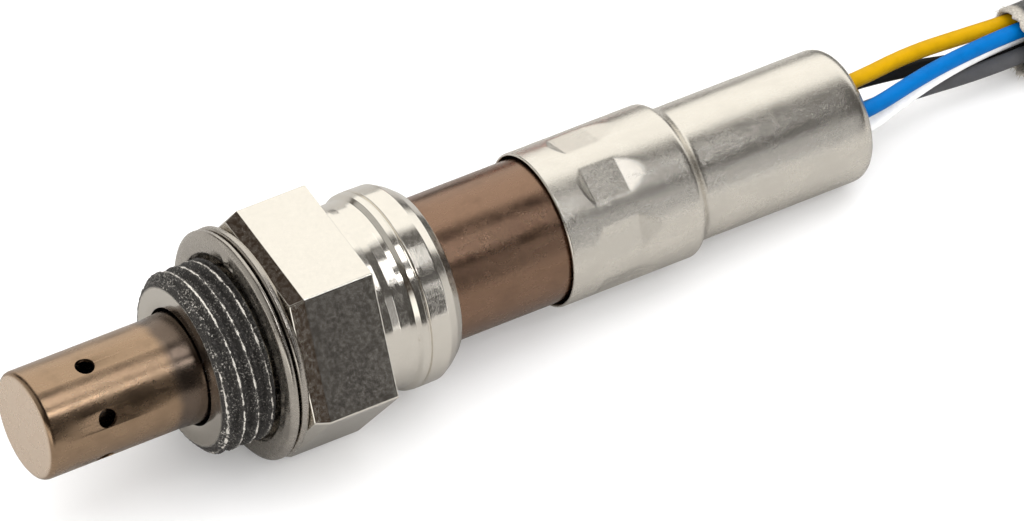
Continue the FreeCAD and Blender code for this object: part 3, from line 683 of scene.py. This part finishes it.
class SensorSizes(bpy.types.PropertyGroup):
    """Sizes of the sensor's visible pieces"""

    thread_pitch: length_setting("Thread pitch", "Distance from crest to crest", 0.0015, 0.0005)
    thread_depth: length_setting("Thread depth", "Depth of the coated grooves", 0.00072)
    coat_grit: length_setting("Coat grit", "Height of the thread compound's lumps", 0.00007)
    gas_hole_radius: length_setting("Gas hole radius", "Radius of the six gas holes", 0.00095, 0.0003)
    crimp_flat: length_setting("Crimp flat", "Distance of a crimp's flat from the axis", 0.00752)
    wire_radius: length_setting("Wire radius", "Radius of a lead's insulation", 0.00078, 0.0003)
    sleeve_radius: length_setting("Sleeve radius", "Outside radius of the lead's sleeve", 0.0035)
    camera_distance: length_setting("Camera distance", "Distance of the camera from its target", 1.3468)
    camera_lens: bpy.props.FloatProperty(
        name="Camera lens", description="Focal length", default=500.0, unit="CAMERA")


class SensorColours(bpy.types.PropertyGroup):
    """Colours of the sensor's visible pieces"""

    nickel: colour_setting("Nickel", "Plating of the shell and the cover", (228, 223, 214))
    protector: colour_setting("Protector", "Heat-tinted steel of the gas tube", (165, 139, 114))
    tube: colour_setting("Tube", "Brown heat-tinted tube", (142, 114, 95))
    compound: colour_setting("Compound", "Dark compound on the thread", (52, 50, 48))
    yellow: colour_setting("Yellow lead", "Insulation", (190, 146, 6))
    blue: colour_setting("Blue lead", "Insulation", (0, 100, 172))
    white: colour_setting("White lead", "Insulation", (244, 244, 243))
    grey: colour_setting("Grey lead", "Insulation", (78, 78, 80))
    black: colour_setting("Black lead", "Insulation", (30, 30, 31))
    sleeve: colour_setting("Sleeve", "Dark braid over the leads", (62, 62, 60))
    fibre: colour_setting("Fibre", "Bare fibre at the sleeve's mouth", (196, 189, 178))


def size_of(name):
    """A size of the sensor, in millimetres."""
    return getattr(bpy.context.scene.sensor_sizes, name) / mm


def colour_of(name):
    return tuple(getattr(bpy.context.scene.sensor_colours, name))


def thread_sizes():
    return size_of("thread_pitch"), size_of("thread_depth"), size_of("coat_grit")


def make_shell():
    """The shell; an attribute says how far each place on its thread is from the crest."""
    shell = lathe("shell", shell_stations(*thread_sizes()), hex_turns(), sharp=32.0)
    crests = shell.data.attributes.new("from_crest", "FLOAT", "POINT")
    for vertex, value in zip(shell.data.vertices, crests.data):
        x, turn, radius = off_axis(vertex.co)
        on_thread = shell_front + 0.2 < x < thread_rear and radius > relief_radius
        value.value = from_crest(x, turn, size_of("thread_pitch")) if on_thread else 0.5
    fit(shell, coated_thread(colour_of("nickel"), colour_of("compound")), "shell_nickel", "metal_shell")


def make_grains():
    """Grit of the thread's compound, on a plain copy of the thread's skin with random gaps."""
    rows = 44
    first = shell_front + 0.15
    last = thread_rear - 0.5
    for name, colour, density, size, seed in (
            ("pale_compound_grains", paint(196, 192, 186), 0.7e6, 0.000055, 3),
            ("dark_compound_grains", paint(38, 36, 34), 3.0e6, 0.00007, 8)):
        bm = bmesh.new()
        stations = [first + (last - first) * row / rows for row in range(rows + 1)]
        skin(bm, [[turned_place(x, turn, thread_radius(x, turn, *thread_sizes())) for turn in even_turns]
                  for x in stations])
        gaps = [face for face in bm.faces
                if noise.noise(face.calc_center_median() * 900 + Vector((seed, 0, 0))) < 0.05]
        bmesh.ops.delete(bm, geom=gaps, context="FACES")
        material = tinted_steel(name, colour, shade(colour, 0.4), 0.32)
        grains = grown(stored(name, bm), scatter_tree(), {
            "Grains per square metre": density, "Grain size": size, "Flatness": 0.45, "Seed": seed,
            "Material": material})
        fit(grains, material, "shell_nickel")


# The gasket is even up to a radius; its small burr stands at a turn and a radius
even_radius = 8.9
burr_turn = radians(78)
burr_radius = 9.9


def make_gasket():
    """The folded ring: a dished front lip, a slot and a rear lip, slightly uneven, with a burr."""
    profile = softened([
        (-3.25, 9.08, 0.2), (-3.6, 9.42, 0.3), (-3.57, 10.3, 1.2), (-3.42, 11.05, 0.6), (-3.1, 11.46, 0.3),
        (-2.66, 11.46, 0.3), (-2.58, 11.0, 0.1), (-2.6, 9.75, 0.05), (-2.4, 9.75, 0.05), (-2.42, 11.0, 0.1),
        (-2.34, 11.46, 0.3), (-1.75, 11.46, 0.34), (-1.42, 11.1, 0.2), (-1.42, 9.4, 0.2), (-1.8, 9.08, 0.2),
    ])

    def bell(value, centre, width):
        return exp(-((value - centre) / width) ** 2)

    def uneven(x, radius):
        def station(turn):
            here = Vector((cos(turn), sin(turn), x * 0.4))
            front = smooth(-2.2, -3.0, x) if x < -2.2 else 0.0
            wave = noise.noise(here * 2.2) * 0.06 + noise.noise(here * 5.0) * 0.015
            away = (turn - burr_turn + pi) % (2 * pi) - pi
            burr = bell(away, 0, 0.05) * bell(radius, burr_radius, 0.35)
            notch = bell(away, 0.09, 0.035) * bell(radius, burr_radius - 0.1, 0.3)
            return x + front * (0.5 * notch - 0.28 * burr), radius + wave * (radius - even_radius) / 2.4
        return station

    gasket = lathe("gasket", [uneven(*station) for station in profile], fine_turns, sharp=40.0)
    steel = plated_steel("gasket_steel", paint(184, 178, 170), 0.2, 0.34, 0.006, 0.005)
    fit(gasket, steel, "gasket_steel", "crush_gasket")


# The gas tube's closed end, the start of its dark skirt, its ring of holes, and what the cutters reach
tube_front = -25.85
skirt_station = -11.7
gas_holes = 6
gas_hole_station = -19.6
gas_hole_sides = 48
cutter_reach = (4.2, 6.4)


def hole_cutters(hole):
    """Rods through the gas tube's wall, one for each gas hole."""
    cutters = bmesh.new()
    for number in range(gas_holes):
        turn = radians(90 + 360 / gas_holes * number)
        rows = []
        for out in cutter_reach:
            rows.append([on_axis(gas_hole_station + hole * cos(angle),
                                 out * cos(turn) - hole * sin(angle) * sin(turn),
                                 out * sin(turn) + hole * sin(angle) * cos(turn))
                         for angle in (2 * pi * part / gas_hole_sides for part in range(gas_hole_sides))])
        middles = [[sum(row, Vector()) / len(row)] * len(row) for row in rows]
        skin(cutters, [middles[0], rows[0], rows[1], middles[1]])
    return smoothed("hole_cutters", cutters, 40.0)


def make_protector():
    """The outer gas tube: a closed drawn end, six punched holes and a flared, seated skirt."""
    profile = softened([
        (tube_front, 0.0), (tube_front, 5.4, 0.6), (-11.4, 5.4, 0.3), (-9.2, 5.55, 0.3), (-7.2, 5.55, 0.2),
        (-7.2, 6.25, 0.08), (-6.8, 6.25, 0.08), (-6.8, 5.15), (-9.2, 5.15), (-11.4, 5.0), (-24.95, 5.0),
        (-25.45, 4.5), (-25.45, 0.0),
    ], closed=False)
    tube = lathe("protector", profile, fine_turns, closed=False, sharp=40.0)
    cutter = hole_cutters(size_of("gas_hole_radius"))
    cut = tube.modifiers.new("holes", "BOOLEAN")
    cut.operation = "DIFFERENCE"
    cut.solver = "EXACT"
    cut.object = cutter
    applied(tube)
    bpy.data.objects.remove(cutter)
    rounded(tube, 0.09, 2, 50, 40)
    bronze = colour_of("protector")
    ends = (tube_front, paint(234, 213, 192), skirt_station, paint(112, 98, 87))
    steel = tinted_steel("protector_bronze", bronze, shade(bronze, 0.72), 0.24, ends)
    fit(tube, steel, "protector_steel", "outer_protector")


def make_tube():
    """The brown tube, with the flange that the shell's lip holds."""
    profile = softened([
        (13.7, 6.7), (13.7, 8.8, 0.1), (14.2, 8.8, 0.1), (14.2, 7.2, 0.1), (31.0, 7.2, 0.3), (31.8, 7.1, 0.3),
        (41.5, 7.1, 0.1), (41.5, 6.6), (31.8, 6.6), (31.0, 6.7),
    ])
    brown = colour_of("tube")
    steel = tinted_steel("tube_brown", brown, shade(brown, 0.7), 0.24)
    fit(lathe("tube", profile), steel, "tube_brown", "inner_tube")


# The cover's stations, in millimetres along the axis, its radii and its wall
cover_start = 29.4
cover_radius = 7.76
cap_radius = 6.7
cap_edge = 1.6
cover_body_end = 43.5
cap_start = 45.2
cap_end = 63.9
cover_wall = 0.3

# The crimps: where their flats and their whole zone begin and end, the slopes' lengths, and their softness
crimps = 8
crimp_front = 33.2
crimp_rear = 37.0
crimp_zone = (32.3, 39.6)
crimp_rise = 0.7
crimp_fall = 2.2
crimp_softness = 0.02


def crimped(radius, x, turn, flat, inset):
    """The cover's radius at a turn, where the crimps press flats into it."""
    if not crimp_zone[0] < x < crimp_zone[1]:
        return radius
    low = flat - inset
    press = cover_radius - flat
    low += max((crimp_front - x) / crimp_rise, (x - crimp_rear) / crimp_fall, 0.0) * press
    half = pi / crimps
    away = turn % (2 * half) - half
    pressed = low / cos(away)
    gap = (radius - pressed) / crimp_softness
    if gap > 6:
        return pressed
    if gap < -6:
        return radius
    return radius - crimp_softness * log(1 + exp(gap))


def cover_skin(inset):
    """The cover's stations from its front to its rear face, one inset in from the outside."""
    # The first station, the step and the count of each run, closer together on the crimps' slopes
    runs = ((29.54, 1, 1), (29.6, 0.25, 12), (32.4, 0.1, 12), (33.7, 0.5, 7), (36.92, 0.08, 3),
            (37.3, 0.2, 12), (40.3, 1, 3), (43.2, 1, 1))
    rows = [(first + step * number, cover_radius - inset)
            for first, step, count in runs for number in range(count)]
    for step in range(13):
        share = step / 12
        x = cover_body_end - inset + (cap_start - cover_body_end) * share
        rows.append((x, cover_radius - inset - (cover_radius - cap_radius) * smooth(0, 1, share)))
    rows += [(cap_start + 0.2 + step * 2.3, cap_radius - inset) for step in range(8)]
    edge = cap_edge - inset
    for step in range(9):
        angle = pi / 2 * step / 8
        rows.append((cap_end - cap_edge + edge * sin(angle), cap_radius - cap_edge + edge * cos(angle)))
    return rows


def make_cover():
    """The drawn cover: a rolled front edge, eight crimps, a step, and a cap with a round opening."""
    flat = size_of("crimp_flat")

    def station(x, radius, inset):
        return lambda turn: (x, crimped(radius, x, turn, flat, inset))

    outside = [(cover_start + ahead, cover_radius - inset) for ahead, inset in ((0.05, 0.06), (0.1, 0.015))]
    outside += cover_skin(0.0)
    outside += [(cap_end - back, radius) for back, radius in
                ((0, 4.62), (0.02, 4.54), (0.08, 4.5), (0.24, 4.5), (0.3, 4.56))]
    inside = cover_skin(cover_wall)[::-1]
    inside += [(cover_start + ahead, cover_radius - inset)
               for ahead, inset in ((0.05, 0.25), (0, 0.2), (0, 0.13))]
    rings = [station(x, radius, 0.0) for x, radius in outside]
    rings += [station(x, radius, cover_wall) for x, radius in inside]
    cover = lathe("cover", rings, fine_turns, sharp=38.0)
    fit(cover, satin_nickel(colour_of("nickel")), "cover_nickel", "outer_cover")


def joined_copy(name, node, width):
    """A node's own solid with its triangles joined and its edges rounded."""
    bm = bmesh.new()
    bm.from_mesh(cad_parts[node].data)
    bmesh.ops.remove_doubles(bm, verts=bm.verts, dist=2e-6)
    bmesh.ops.dissolve_limit(bm, angle_limit=radians(0.5), verts=bm.verts, edges=bm.edges)
    return rounded(smoothed(name, bm, 35.0), width, 3, 40, 35)


def make_grommet():
    rubber = moulded("grommet_rubber", paint(34, 33, 32), 0.5, 0.3, 0.012, 0.2)
    fit(joined_copy("grommet_plug", "grommet", 0.05), rubber, "grommet_rubber", "grommet")


# The routes of the leads and their sleeve, in millimetres
wire_routes = {
    "yellow": [(37.13, 0.54, 9.84), (45.60, 0.58, 9.20), (53.30, 1.99, 7.85), (59.70, 2.53, 6.15),
               (66.10, 2.73, 4.80), (71.58, 2.69, 4.45)],
    "blue": [(37.02, -2.44, 8.48), (45.49, -2.40, 7.83), (53.25, -0.84, 7.56), (59.70, 0.26, 6.57),
             (66.15, 0.76, 5.68), (71.63, 0.68, 5.18)],
    "white": [(36.76, -2.05, 5.20), (45.24, -2.02, 4.63), (52.41, -0.69, 5.79), (58.80, 0.59, 5.31),
              (66.04, 1.35, 4.25), (71.52, 1.27, 3.77)],
    "black": [(36.94, 2.78, 7.44), (45.40, 2.82, 6.70), (53.06, 2.53, 5.24), (59.48, 1.61, 3.74),
              (65.92, 1.17, 2.72), (71.41, 1.17, 2.24)],
    "grey": [(36.71, 1.19, 4.57), (45.19, 1.16, 3.99), (52.95, 0.68, 3.82), (59.48, -0.32, 3.73),
             (65.99, -0.65, 3.66), (71.47, -0.65, 3.22)],
}
sleeve_start_route = [(64.65, 0.66, 4.27), (75.6, 0.8, 3.62), (87.0, 1.0, 3.9)]
sleeve_end_route = [(90.0, 71.0, 11.0), (80.7, 70.4, 10.0), (71.5, 68.5, 7.7), (61.8, 66.5, 6.5),
                    (52.5, 66.5, 6.5)]
coil_centre = (99.5, 36.0)
coil_radius = 35.0
coil_low = 3.9
coil_high = 11.0
turn_points = 16
sleeve_wall = 0.45
sleeve_sides = 48
curve_steps = 16


def coil_points():
    """A turn and a half of the sleeve, which climbs onto itself towards the end of its first turn."""
    points = []
    step = 360 / turn_points
    reach = coil_radius / cos(pi / turn_points)
    for number in range(turn_points * 3 // 2):
        angle = -90 + step * (number + 0.5)
        height = coil_low + (coil_high - coil_low) * smooth(192, 245, angle)
        points.append((coil_centre[0] + reach * cos(radians(angle)),
                       coil_centre[1] + reach * sin(radians(angle)), height))
    return points


def route_curve(name, points, radius=0.0):
    """An open NURBS curve whose control points are the route's."""
    curve = bpy.data.curves.new(name, "CURVE")
    curve.dimensions = "3D"
    curve.resolution_u = curve_steps
    curve.bevel_depth = radius
    curve.bevel_resolution = 7
    curve.use_fill_caps = True
    spline = curve.splines.new("NURBS")
    spline.points.add(len(points) - 1)
    for point, where in zip(spline.points, points):
        point.co = (*(Vector(where) * mm), 1.0)
    spline.order_u = 3
    spline.use_endpoint_u = True
    spline.resolution_u = curve_steps
    return add_object(name, curve)


def route_line(points):
    """The points of a route's NURBS spline."""
    route = route_curve("route", points)
    mesh = plain_mesh(route)
    line = [vertex.co.copy() for vertex in mesh.vertices]
    bpy.data.objects.remove(route)
    bpy.data.meshes.remove(mesh)
    return line


def make_wires():
    sizes = bpy.context.scene.sensor_sizes
    for colour, points in wire_routes.items():
        wire = route_curve("lead_" + colour, points, sizes.wire_radius)
        rough = 0.42 if colour in ("black", "grey") else 0.34
        material = moulded("insulation_" + colour, colour_of(colour), rough, 0.25, 0.003, gloss=0.08)
        fit(wire, material, "insulation_" + colour, "wire_" + colour)


def along_line(line, runs, distance):
    """A line's point and direction at a distance along it; runs are its points' own distances."""
    number = 1
    while number < len(line) - 1 and runs[number] < distance:
        number += 1
    share = (distance - runs[number - 1]) / (runs[number] - runs[number - 1])
    before, after = line[number - 1], line[number]
    return before.lerp(after, share), (after - before).normalized()


def mouth_shape(angle):
    """How far the sleeve's cut mouth juts out, and how far it flares, at an angle round it."""
    def ripple(waves, shift):
        return noise.noise(Vector((cos(angle) * waves, sin(angle) * waves, shift)))

    return ripple(3, 2.0) * 0.5 + ripple(9, 7.0) * 0.4, ripple(4, 11.0) * 0.16


def sleeve_rings(runs, inside, outside):
    """The sleeve's (distance, radius) rings, out of its lining, round its mouth and along to its end."""
    rings = [(8.0, 0.0), (8.0, inside), (4.0, inside), (2.0, inside), (0.9, inside), (0.3, inside + 0.02),
             (0.0, inside + 0.1), (-0.08, outside - 0.2), (0.0, outside - 0.04), (0.25, outside + 0.03),
             (0.6, outside + 0.02), (1.2, outside)]
    distances = [2.0 + step for step in range(14)] + [run for run in runs if run > 16]
    rings += [(distance, outside) for distance in distances]
    return rings + [(distances[-1], outside * 0.6), (distances[-1], 0.0)]


def make_sleeve(line, runs, inside, outside):
    """The sleeve: a braided tube along its line, open and ragged at the leads' end."""
    ragged_length = 1.6
    side = Vector((0, 0, 1)).cross(line[1] - line[0]).normalized()
    angles = [2 * pi * number / sleeve_sides for number in range(sleeve_sides)]
    bm = bmesh.new()
    surface = bm.loops.layers.uv.new("along_and_round")
    made = []
    for distance, radius in sleeve_rings(runs, inside, outside):
        point, way = along_line(line, runs, max(distance, 0.0))
        side = (side - way * side.dot(way)).normalized()
        up = way.cross(side)
        ragged = 1 - smooth(0.0, ragged_length, distance)
        row = []
        for angle in angles:
            jut, flare = mouth_shape(angle)
            out = side * cos(angle) + up * sin(angle)
            lift = ragged * flare if radius else 0.0
            shift = way * (jut * ragged + min(distance, 0.0))
            row.append(bm.verts.new(point + (out * (radius + lift) + shift) * mm))
        made.append((row, distance))
    for (here, start), (there, end) in zip(made, made[1:]):
        for number in range(sleeve_sides):
            after = (number + 1) % sleeve_sides
            face = bm.faces.new((here[number], there[number], there[after], here[after]))
            rounds = (number, number, number + 1, number + 1)
            for loop, along, part in zip(face.loops, (start, end, end, start), rounds):
                loop[surface].uv = (along, part / sleeve_sides)
    material = woven_sleeve(colour_of("sleeve"), colour_of("fibre"))
    sleeve = smoothed("sleeve", bm, 180.0)
    return fit(sleeve, material, "sheath_sleeve", "sheath", "sheath_coil", "sheath_tail")


def make_strands(start, way, inside, outside):
    """The frayed strands round the sleeve's mouth."""
    strands = 110
    chooser = random.Random(5)
    side = Vector((0, 0, 1)).cross(way).normalized()
    up = way.cross(side)
    places = []
    lays = []
    for _ in range(strands):
        angle = 2 * pi * chooser.random()
        out = side * cos(angle) + up * sin(angle)
        radius = inside + (outside - inside) * chooser.random()
        places.append(start + (out * radius + way * (0.1 + 0.7 * chooser.random())) * mm)
        lays.extend(-way + out * 0.25)
    points = bpy.data.meshes.new("mouth_strands")
    points.from_pydata(places, [], [])
    points.attributes.new("lay", "FLOAT_VECTOR", "POINT").data.foreach_set("vector", lays)
    fibre = moulded("fibre", colour_of("fibre"), 0.6, 0.2, 0.005)
    grown_strands = grown(add_object("mouth_strands", points), strand_tree(), {
        "Strand length": 0.0008, "Strand radius": 0.00006, "Spread": 0.7, "Seed": 4, "Material": fibre})
    return fit(grown_strands, fibre, "sheath_sleeve")


def make_connector():
    """The plug at the lead's far end, and the tape that holds the coil."""
    pieces = []
    # The width is that of the rounded edges; a finish is colour, roughness, grain, depth and sheen
    for name, node, width, slot, *finish in (
            ("plug_boot", "connector_boot", 0.25, "boot_rubber", paint(38, 37, 36), 0.52, 0.4, 0.02, 0.2),
            ("plug_housing", "connector_housing", 0.18, "plug_plastic", paint(52, 53, 55), 0.38, 0.3, 0.008),
            ("plug_seal", "connector_seal", 0.1, "seal_silicone", paint(190, 88, 40), 0.4, 0.4, 0.01),
            ("plug_lock", "connector_lock", 0.15, "lock_plastic", paint(196, 60, 42), 0.36, 0.3, 0.006),
            ("coil_tape", "coil_tie", 0.12, "tie_tape", paint(28, 28, 29), 0.48, 0.5, 0.03, 0.15)):
        pieces.append(fit(joined_copy(name, node, width), moulded(slot, *finish), slot, node))
    return pieces


def make_lead():
    """The leads, their sleeve with its frayed mouth, and the plug, as one run of cord."""
    make_wires()
    line = route_line(sleeve_start_route + coil_points() + sleeve_end_route)
    runs = [0.0]
    for here, there in zip(line, line[1:]):
        runs.append(runs[-1] + (there - here).length / mm)
    outside = size_of("sleeve_radius")
    inside = outside - sleeve_wall
    sleeve = make_sleeve(line, runs, inside, outside)
    strands = make_strands(*along_line(line, runs, 0.0), inside, outside)
    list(make_connector())


def make_inner_parts():
    """Materials of the nodes that keep their own solids, most of them out of sight."""
    finishes = {
        plated_steel("inner_steel", paint(176, 168, 158), 0.22, 0.36):
            ("inner_protector", "element_cup", "packing_ring", "tolerance_ring"),
        plated_steel("contact_metal", paint(204, 196, 182), 0.18, 0.3):
            tuple("contact_" + colour for colour in wire_routes),
        plated_steel("terminal_tin", paint(208, 208, 206), 0.2, 0.32): ("connector_contacts",),
        ceramic("ceramic_white", paint(232, 230, 224)):
            ("lower_insulator", "middle_insulator", "ceramic_sleeve", "front_holder", "rear_holder"),
        ceramic("talc", paint(214, 210, 200), 0.7): ("lower_powder", "upper_powder"),
        ceramic("element_grey", paint(126, 124, 122), 0.55): ("sensing_element",),
        ceramic("vent_white", paint(226, 226, 222), 0.6): ("vent_filter",),
    }
    for material, nodes in finishes.items():
        for node in nodes:
            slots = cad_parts[node].material_slots
            if not slots:
                raise RuntimeError(node + " has no material slot")
            for slot in slots:
                slot.material = material


# The stage: where the camera looks, and how the studio is lit
camera_target = Vector((7.198, -1.630, 8.394)) * mm
camera_azimuth = radians(-30.4176)
camera_elevation = radians(49.5577)
floor_reach = 4.0


def make_camera():
    sizes = bpy.context.scene.sensor_sizes
    right = Vector((cos(camera_azimuth), sin(camera_azimuth), 0))
    level = cos(camera_elevation)
    back = Vector((sin(camera_azimuth) * level, -cos(camera_azimuth) * level, sin(camera_elevation)))
    data = bpy.data.cameras.new("camera")
    data.lens = sizes.camera_lens
    data.sensor_width = 36.0
    camera = add_object("camera", data)
    turn = Matrix((right, back.cross(right), back)).transposed().to_4x4()
    camera.matrix_world = Matrix.Translation(camera_target + back * sizes.camera_distance) @ turn
    bpy.context.scene.camera = camera


def make_floor():
    """Pale paper: it glows a little to the camera, which sees it white, and the metal mirrors it grey."""
    mesh = bpy.data.meshes.new("floor")
    corners = [(x * floor_reach, y * floor_reach, 0) for x, y in ((-1, -1), (1, -1), (1, 1), (-1, 1))]
    mesh.from_pydata(corners, [], [(0, 1, 2, 3)])
    floor = add_object("floor", mesh)
    material, shader = new_finish(
        "floor_paper", Roughness=0.9, Specular_IOR_Level=0.1, Emission_Color=(1.0, 1.0, 1.0, 1.0))
    rays = put("LightPath", {}, shader.id_data)
    colour = mixed(rays["Is Glossy Ray"], (0.86, 0.86, 0.865), (0.42, 0.412, 0.4))
    link(shader, Base_Color=colour, Emission_Strength=rays["Is Camera Ray"] * 0.12)
    mesh.materials.append(material)


def make_world():
    """A studio in bands about the sensor's axis, each stop at its degrees up from the camera's side.

    Towards the cable's end it is a dark room with a bright screen behind; towards the tip it is
    dark, and beyond that it is lit low in front and over the top.
    """
    world = bpy.data.worlds.new("studio")
    bpy.context.scene.world = world
    world.use_nodes = True
    background = world.node_tree.nodes["Background"]
    way = put("TexCoord", {}, world.node_tree)["Generated"]

    def along(direction):
        return put("VectorMath", {0: way, 1: direction}, operation="DOT_PRODUCT")["Value"]

    def bands(*stops):
        return ramp(place, *((degrees / 180, colour) for degrees, colour in stops))

    upward = along((sin(lean), 0, cos(lean)))
    endward = along((cos(lean), 0, -sin(lean)))
    place = upward.worked("ARCTAN2", along((0, -1, 0))).worked("DIVIDE", pi)
    cream = (1.0, 0.985, 0.94)
    dusk = (1.0, 0.95, 0.9)
    dark = paint(62, 52, 44)
    rear = bands((0, shade(dusk, 0.06)), (40, shade(dusk, 0.08)), (62, shade(dusk, 0.1)),
                 (100, shade(dusk, 0.13)), (110, shade(cream, 1.25)), (180, shade(cream, 1.25)))
    tip = bands((0, shade(cream, 1.5)), (20, shade(cream, 1.3)), (32, dark), (60, dark),
                (84, shade(cream, 0.45)), (180, shade(cream, 0.6)))
    colour = mixed(span(endward, -0.12, 0.12), dark, rear)
    colour = mixed(span(endward, -0.43, -0.37), tip, colour)
    seen = put("LightPath", {}, world.node_tree)["Is Camera Ray"]
    link(background, Color=mixed(seen, colour, (0.93, 0.93, 0.93)))


def add_lamp(name, place, aim, width, length, radiance, mirrored):
    """A rectangular lamp of even brightness, its length along the sensor; the metal shows mirrored ones."""
    data = bpy.data.lights.new(name, "AREA")
    data.shape = "RECTANGLE"
    data.size = width
    data.size_y = length
    data.energy = radiance * 4 * width * length
    lamp = add_object(name, data)
    back = (place - aim).normalized()
    along = Vector((cos(lean), 0, -sin(lean)))
    along = (along - back * along.dot(back)).normalized()
    turn = Matrix((along.cross(back), along, back)).transposed().to_4x4()
    lamp.matrix_world = Matrix.Translation(place) @ turn
    lamp.visible_glossy = mirrored
    lamp.visible_camera = False


def make_lamps():
    """Cards and boxes beside the sensor for its metal to mirror, and two broad lamps that only light it."""
    # First and last station along the axis, elevation in degrees, distance, width, brightness
    for name, first, last, elevation, distance, width, radiance in (
            ("overhead_box", 101.0, 120.0, 71.0, 250.0, 100.0, 2.1),
            ("tip_box", 30.0, 101.0, 57.0, 250.0, 27.0, 4.6),
            ("tip_card", 74.0, 101.0, 91.0, 250.0, 230.0, 0.55),
            ("ramp_card", 20.0, 74.0, 80.0, 250.0, 80.0, 2.2),
            ("white_card", 113.0, 129.0, 14.0, 200.0, 190.0, 1.4),
            ("grey_card", 129.0, 260.0, 20.0, 200.0, 150.0, 0.2)):
        middle = (first + last) / 2
        angle = radians(elevation)
        place = on_axis(middle, -distance * cos(angle), distance * sin(angle))
        add_lamp(name, place, on_axis(middle, 0, 0), width * mm, (last - first) * mm, radiance, True)
    key_place = camera_target + Vector((0.15, 0.6, 0.9))
    add_lamp("key_lamp", key_place, camera_target, 1.0, 1.4, 0.6, False)
    sky_place = camera_target + Vector((0.0, -0.35, 1.15))
    add_lamp("sky_lamp", sky_place, camera_target, 2.6, 2.6, 1.45, False)


class StageOperator(bpy.types.Operator):
    """Sets the camera, the pale floor and the soft studio light"""
    bl_idname = "sensor.stage"
    bl_label = "Stage"

    def execute(self, context):
        context.scene.view_settings.view_transform = "Standard"
        make_camera()
        make_floor()
        make_world()
        make_lamps()
        return {"FINISHED"}


class LeadOperator(bpy.types.Operator):
    """Builds the five leads, their braided sleeve, its coil and the plug"""
    bl_idname = "sensor.lead"
    bl_label = "Lead and plug"

    def execute(self, context):
        make_lead()
        return {"FINISHED"}


class ShellOperator(bpy.types.Operator):
    """Builds the threaded shell with its hexagon, collar and rolled lip, and the grit on its thread"""
    bl_idname = "sensor.shell"
    bl_label = "Shell"

    def execute(self, context):
        make_shell()
        make_grains()
        return {"FINISHED"}


class GasketOperator(bpy.types.Operator):
    """Builds the folded crush gasket"""
    bl_idname = "sensor.gasket"
    bl_label = "Gasket"

    def execute(self, context):
        make_gasket()
        return {"FINISHED"}


class ProtectorOperator(bpy.types.Operator):
    """Builds the perforated gas protector"""
    bl_idname = "sensor.protector"
    bl_label = "Protector"

    def execute(self, context):
        make_protector()
        return {"FINISHED"}


class CoverOperator(bpy.types.Operator):
    """Builds the brown tube, the crimped cover and the grommet"""
    bl_idname = "sensor.cover"
    bl_label = "Tube and cover"

    def execute(self, context):
        make_tube()
        make_cover()
        make_grommet()
        return {"FINISHED"}


class InnerPartsOperator(bpy.types.Operator):
    """Gives the parts inside the sensor their materials"""
    bl_idname = "sensor.inner_parts"
    bl_label = "Inner parts"

    def execute(self, context):
        make_inner_parts()
        return {"FINISHED"}


operators = (StageOperator, LeadOperator, ShellOperator, GasketOperator, ProtectorOperator, CoverOperator,
             InnerPartsOperator)


class SensorPanel(bpy.types.Panel):
    """Lists the sensor's sizes, colours and pieces"""
    bl_idname = "VIEW3D_PT_sensor"
    bl_label = "Oxygen sensor"
    bl_space_type = "VIEW_3D"
    bl_region_type = "UI"
    bl_category = "Sensor"

    def draw(self, context):
        for group in (context.scene.sensor_sizes, context.scene.sensor_colours):
            for name in group.__annotations__:
                self.layout.prop(group, name)
        for operator in operators:
            self.layout.operator(operator.bl_idname)


classes = (SensorSizes, SensorColours, *operators, SensorPanel)


def register():
    for each in classes:
        bpy.utils.register_class(each)
    bpy.types.Scene.sensor_sizes = bpy.props.PointerProperty(type=SensorSizes)
    bpy.types.Scene.sensor_colours = bpy.props.PointerProperty(type=SensorColours)


def unregister():
    del bpy.types.Scene.sensor_colours
    del bpy.types.Scene.sensor_sizes
    for each in reversed(classes):
        bpy.utils.unregister_class(each)


def main():
    register()
    bpy.ops.sensor.stage()
    bpy.ops.sensor.lead()
    bpy.ops.sensor.shell()
    bpy.ops.sensor.gasket()
    bpy.ops.sensor.protector()
    bpy.ops.sensor.cover()
    bpy.ops.sensor.inner_parts()


if __name__ == "__main__":
    main()
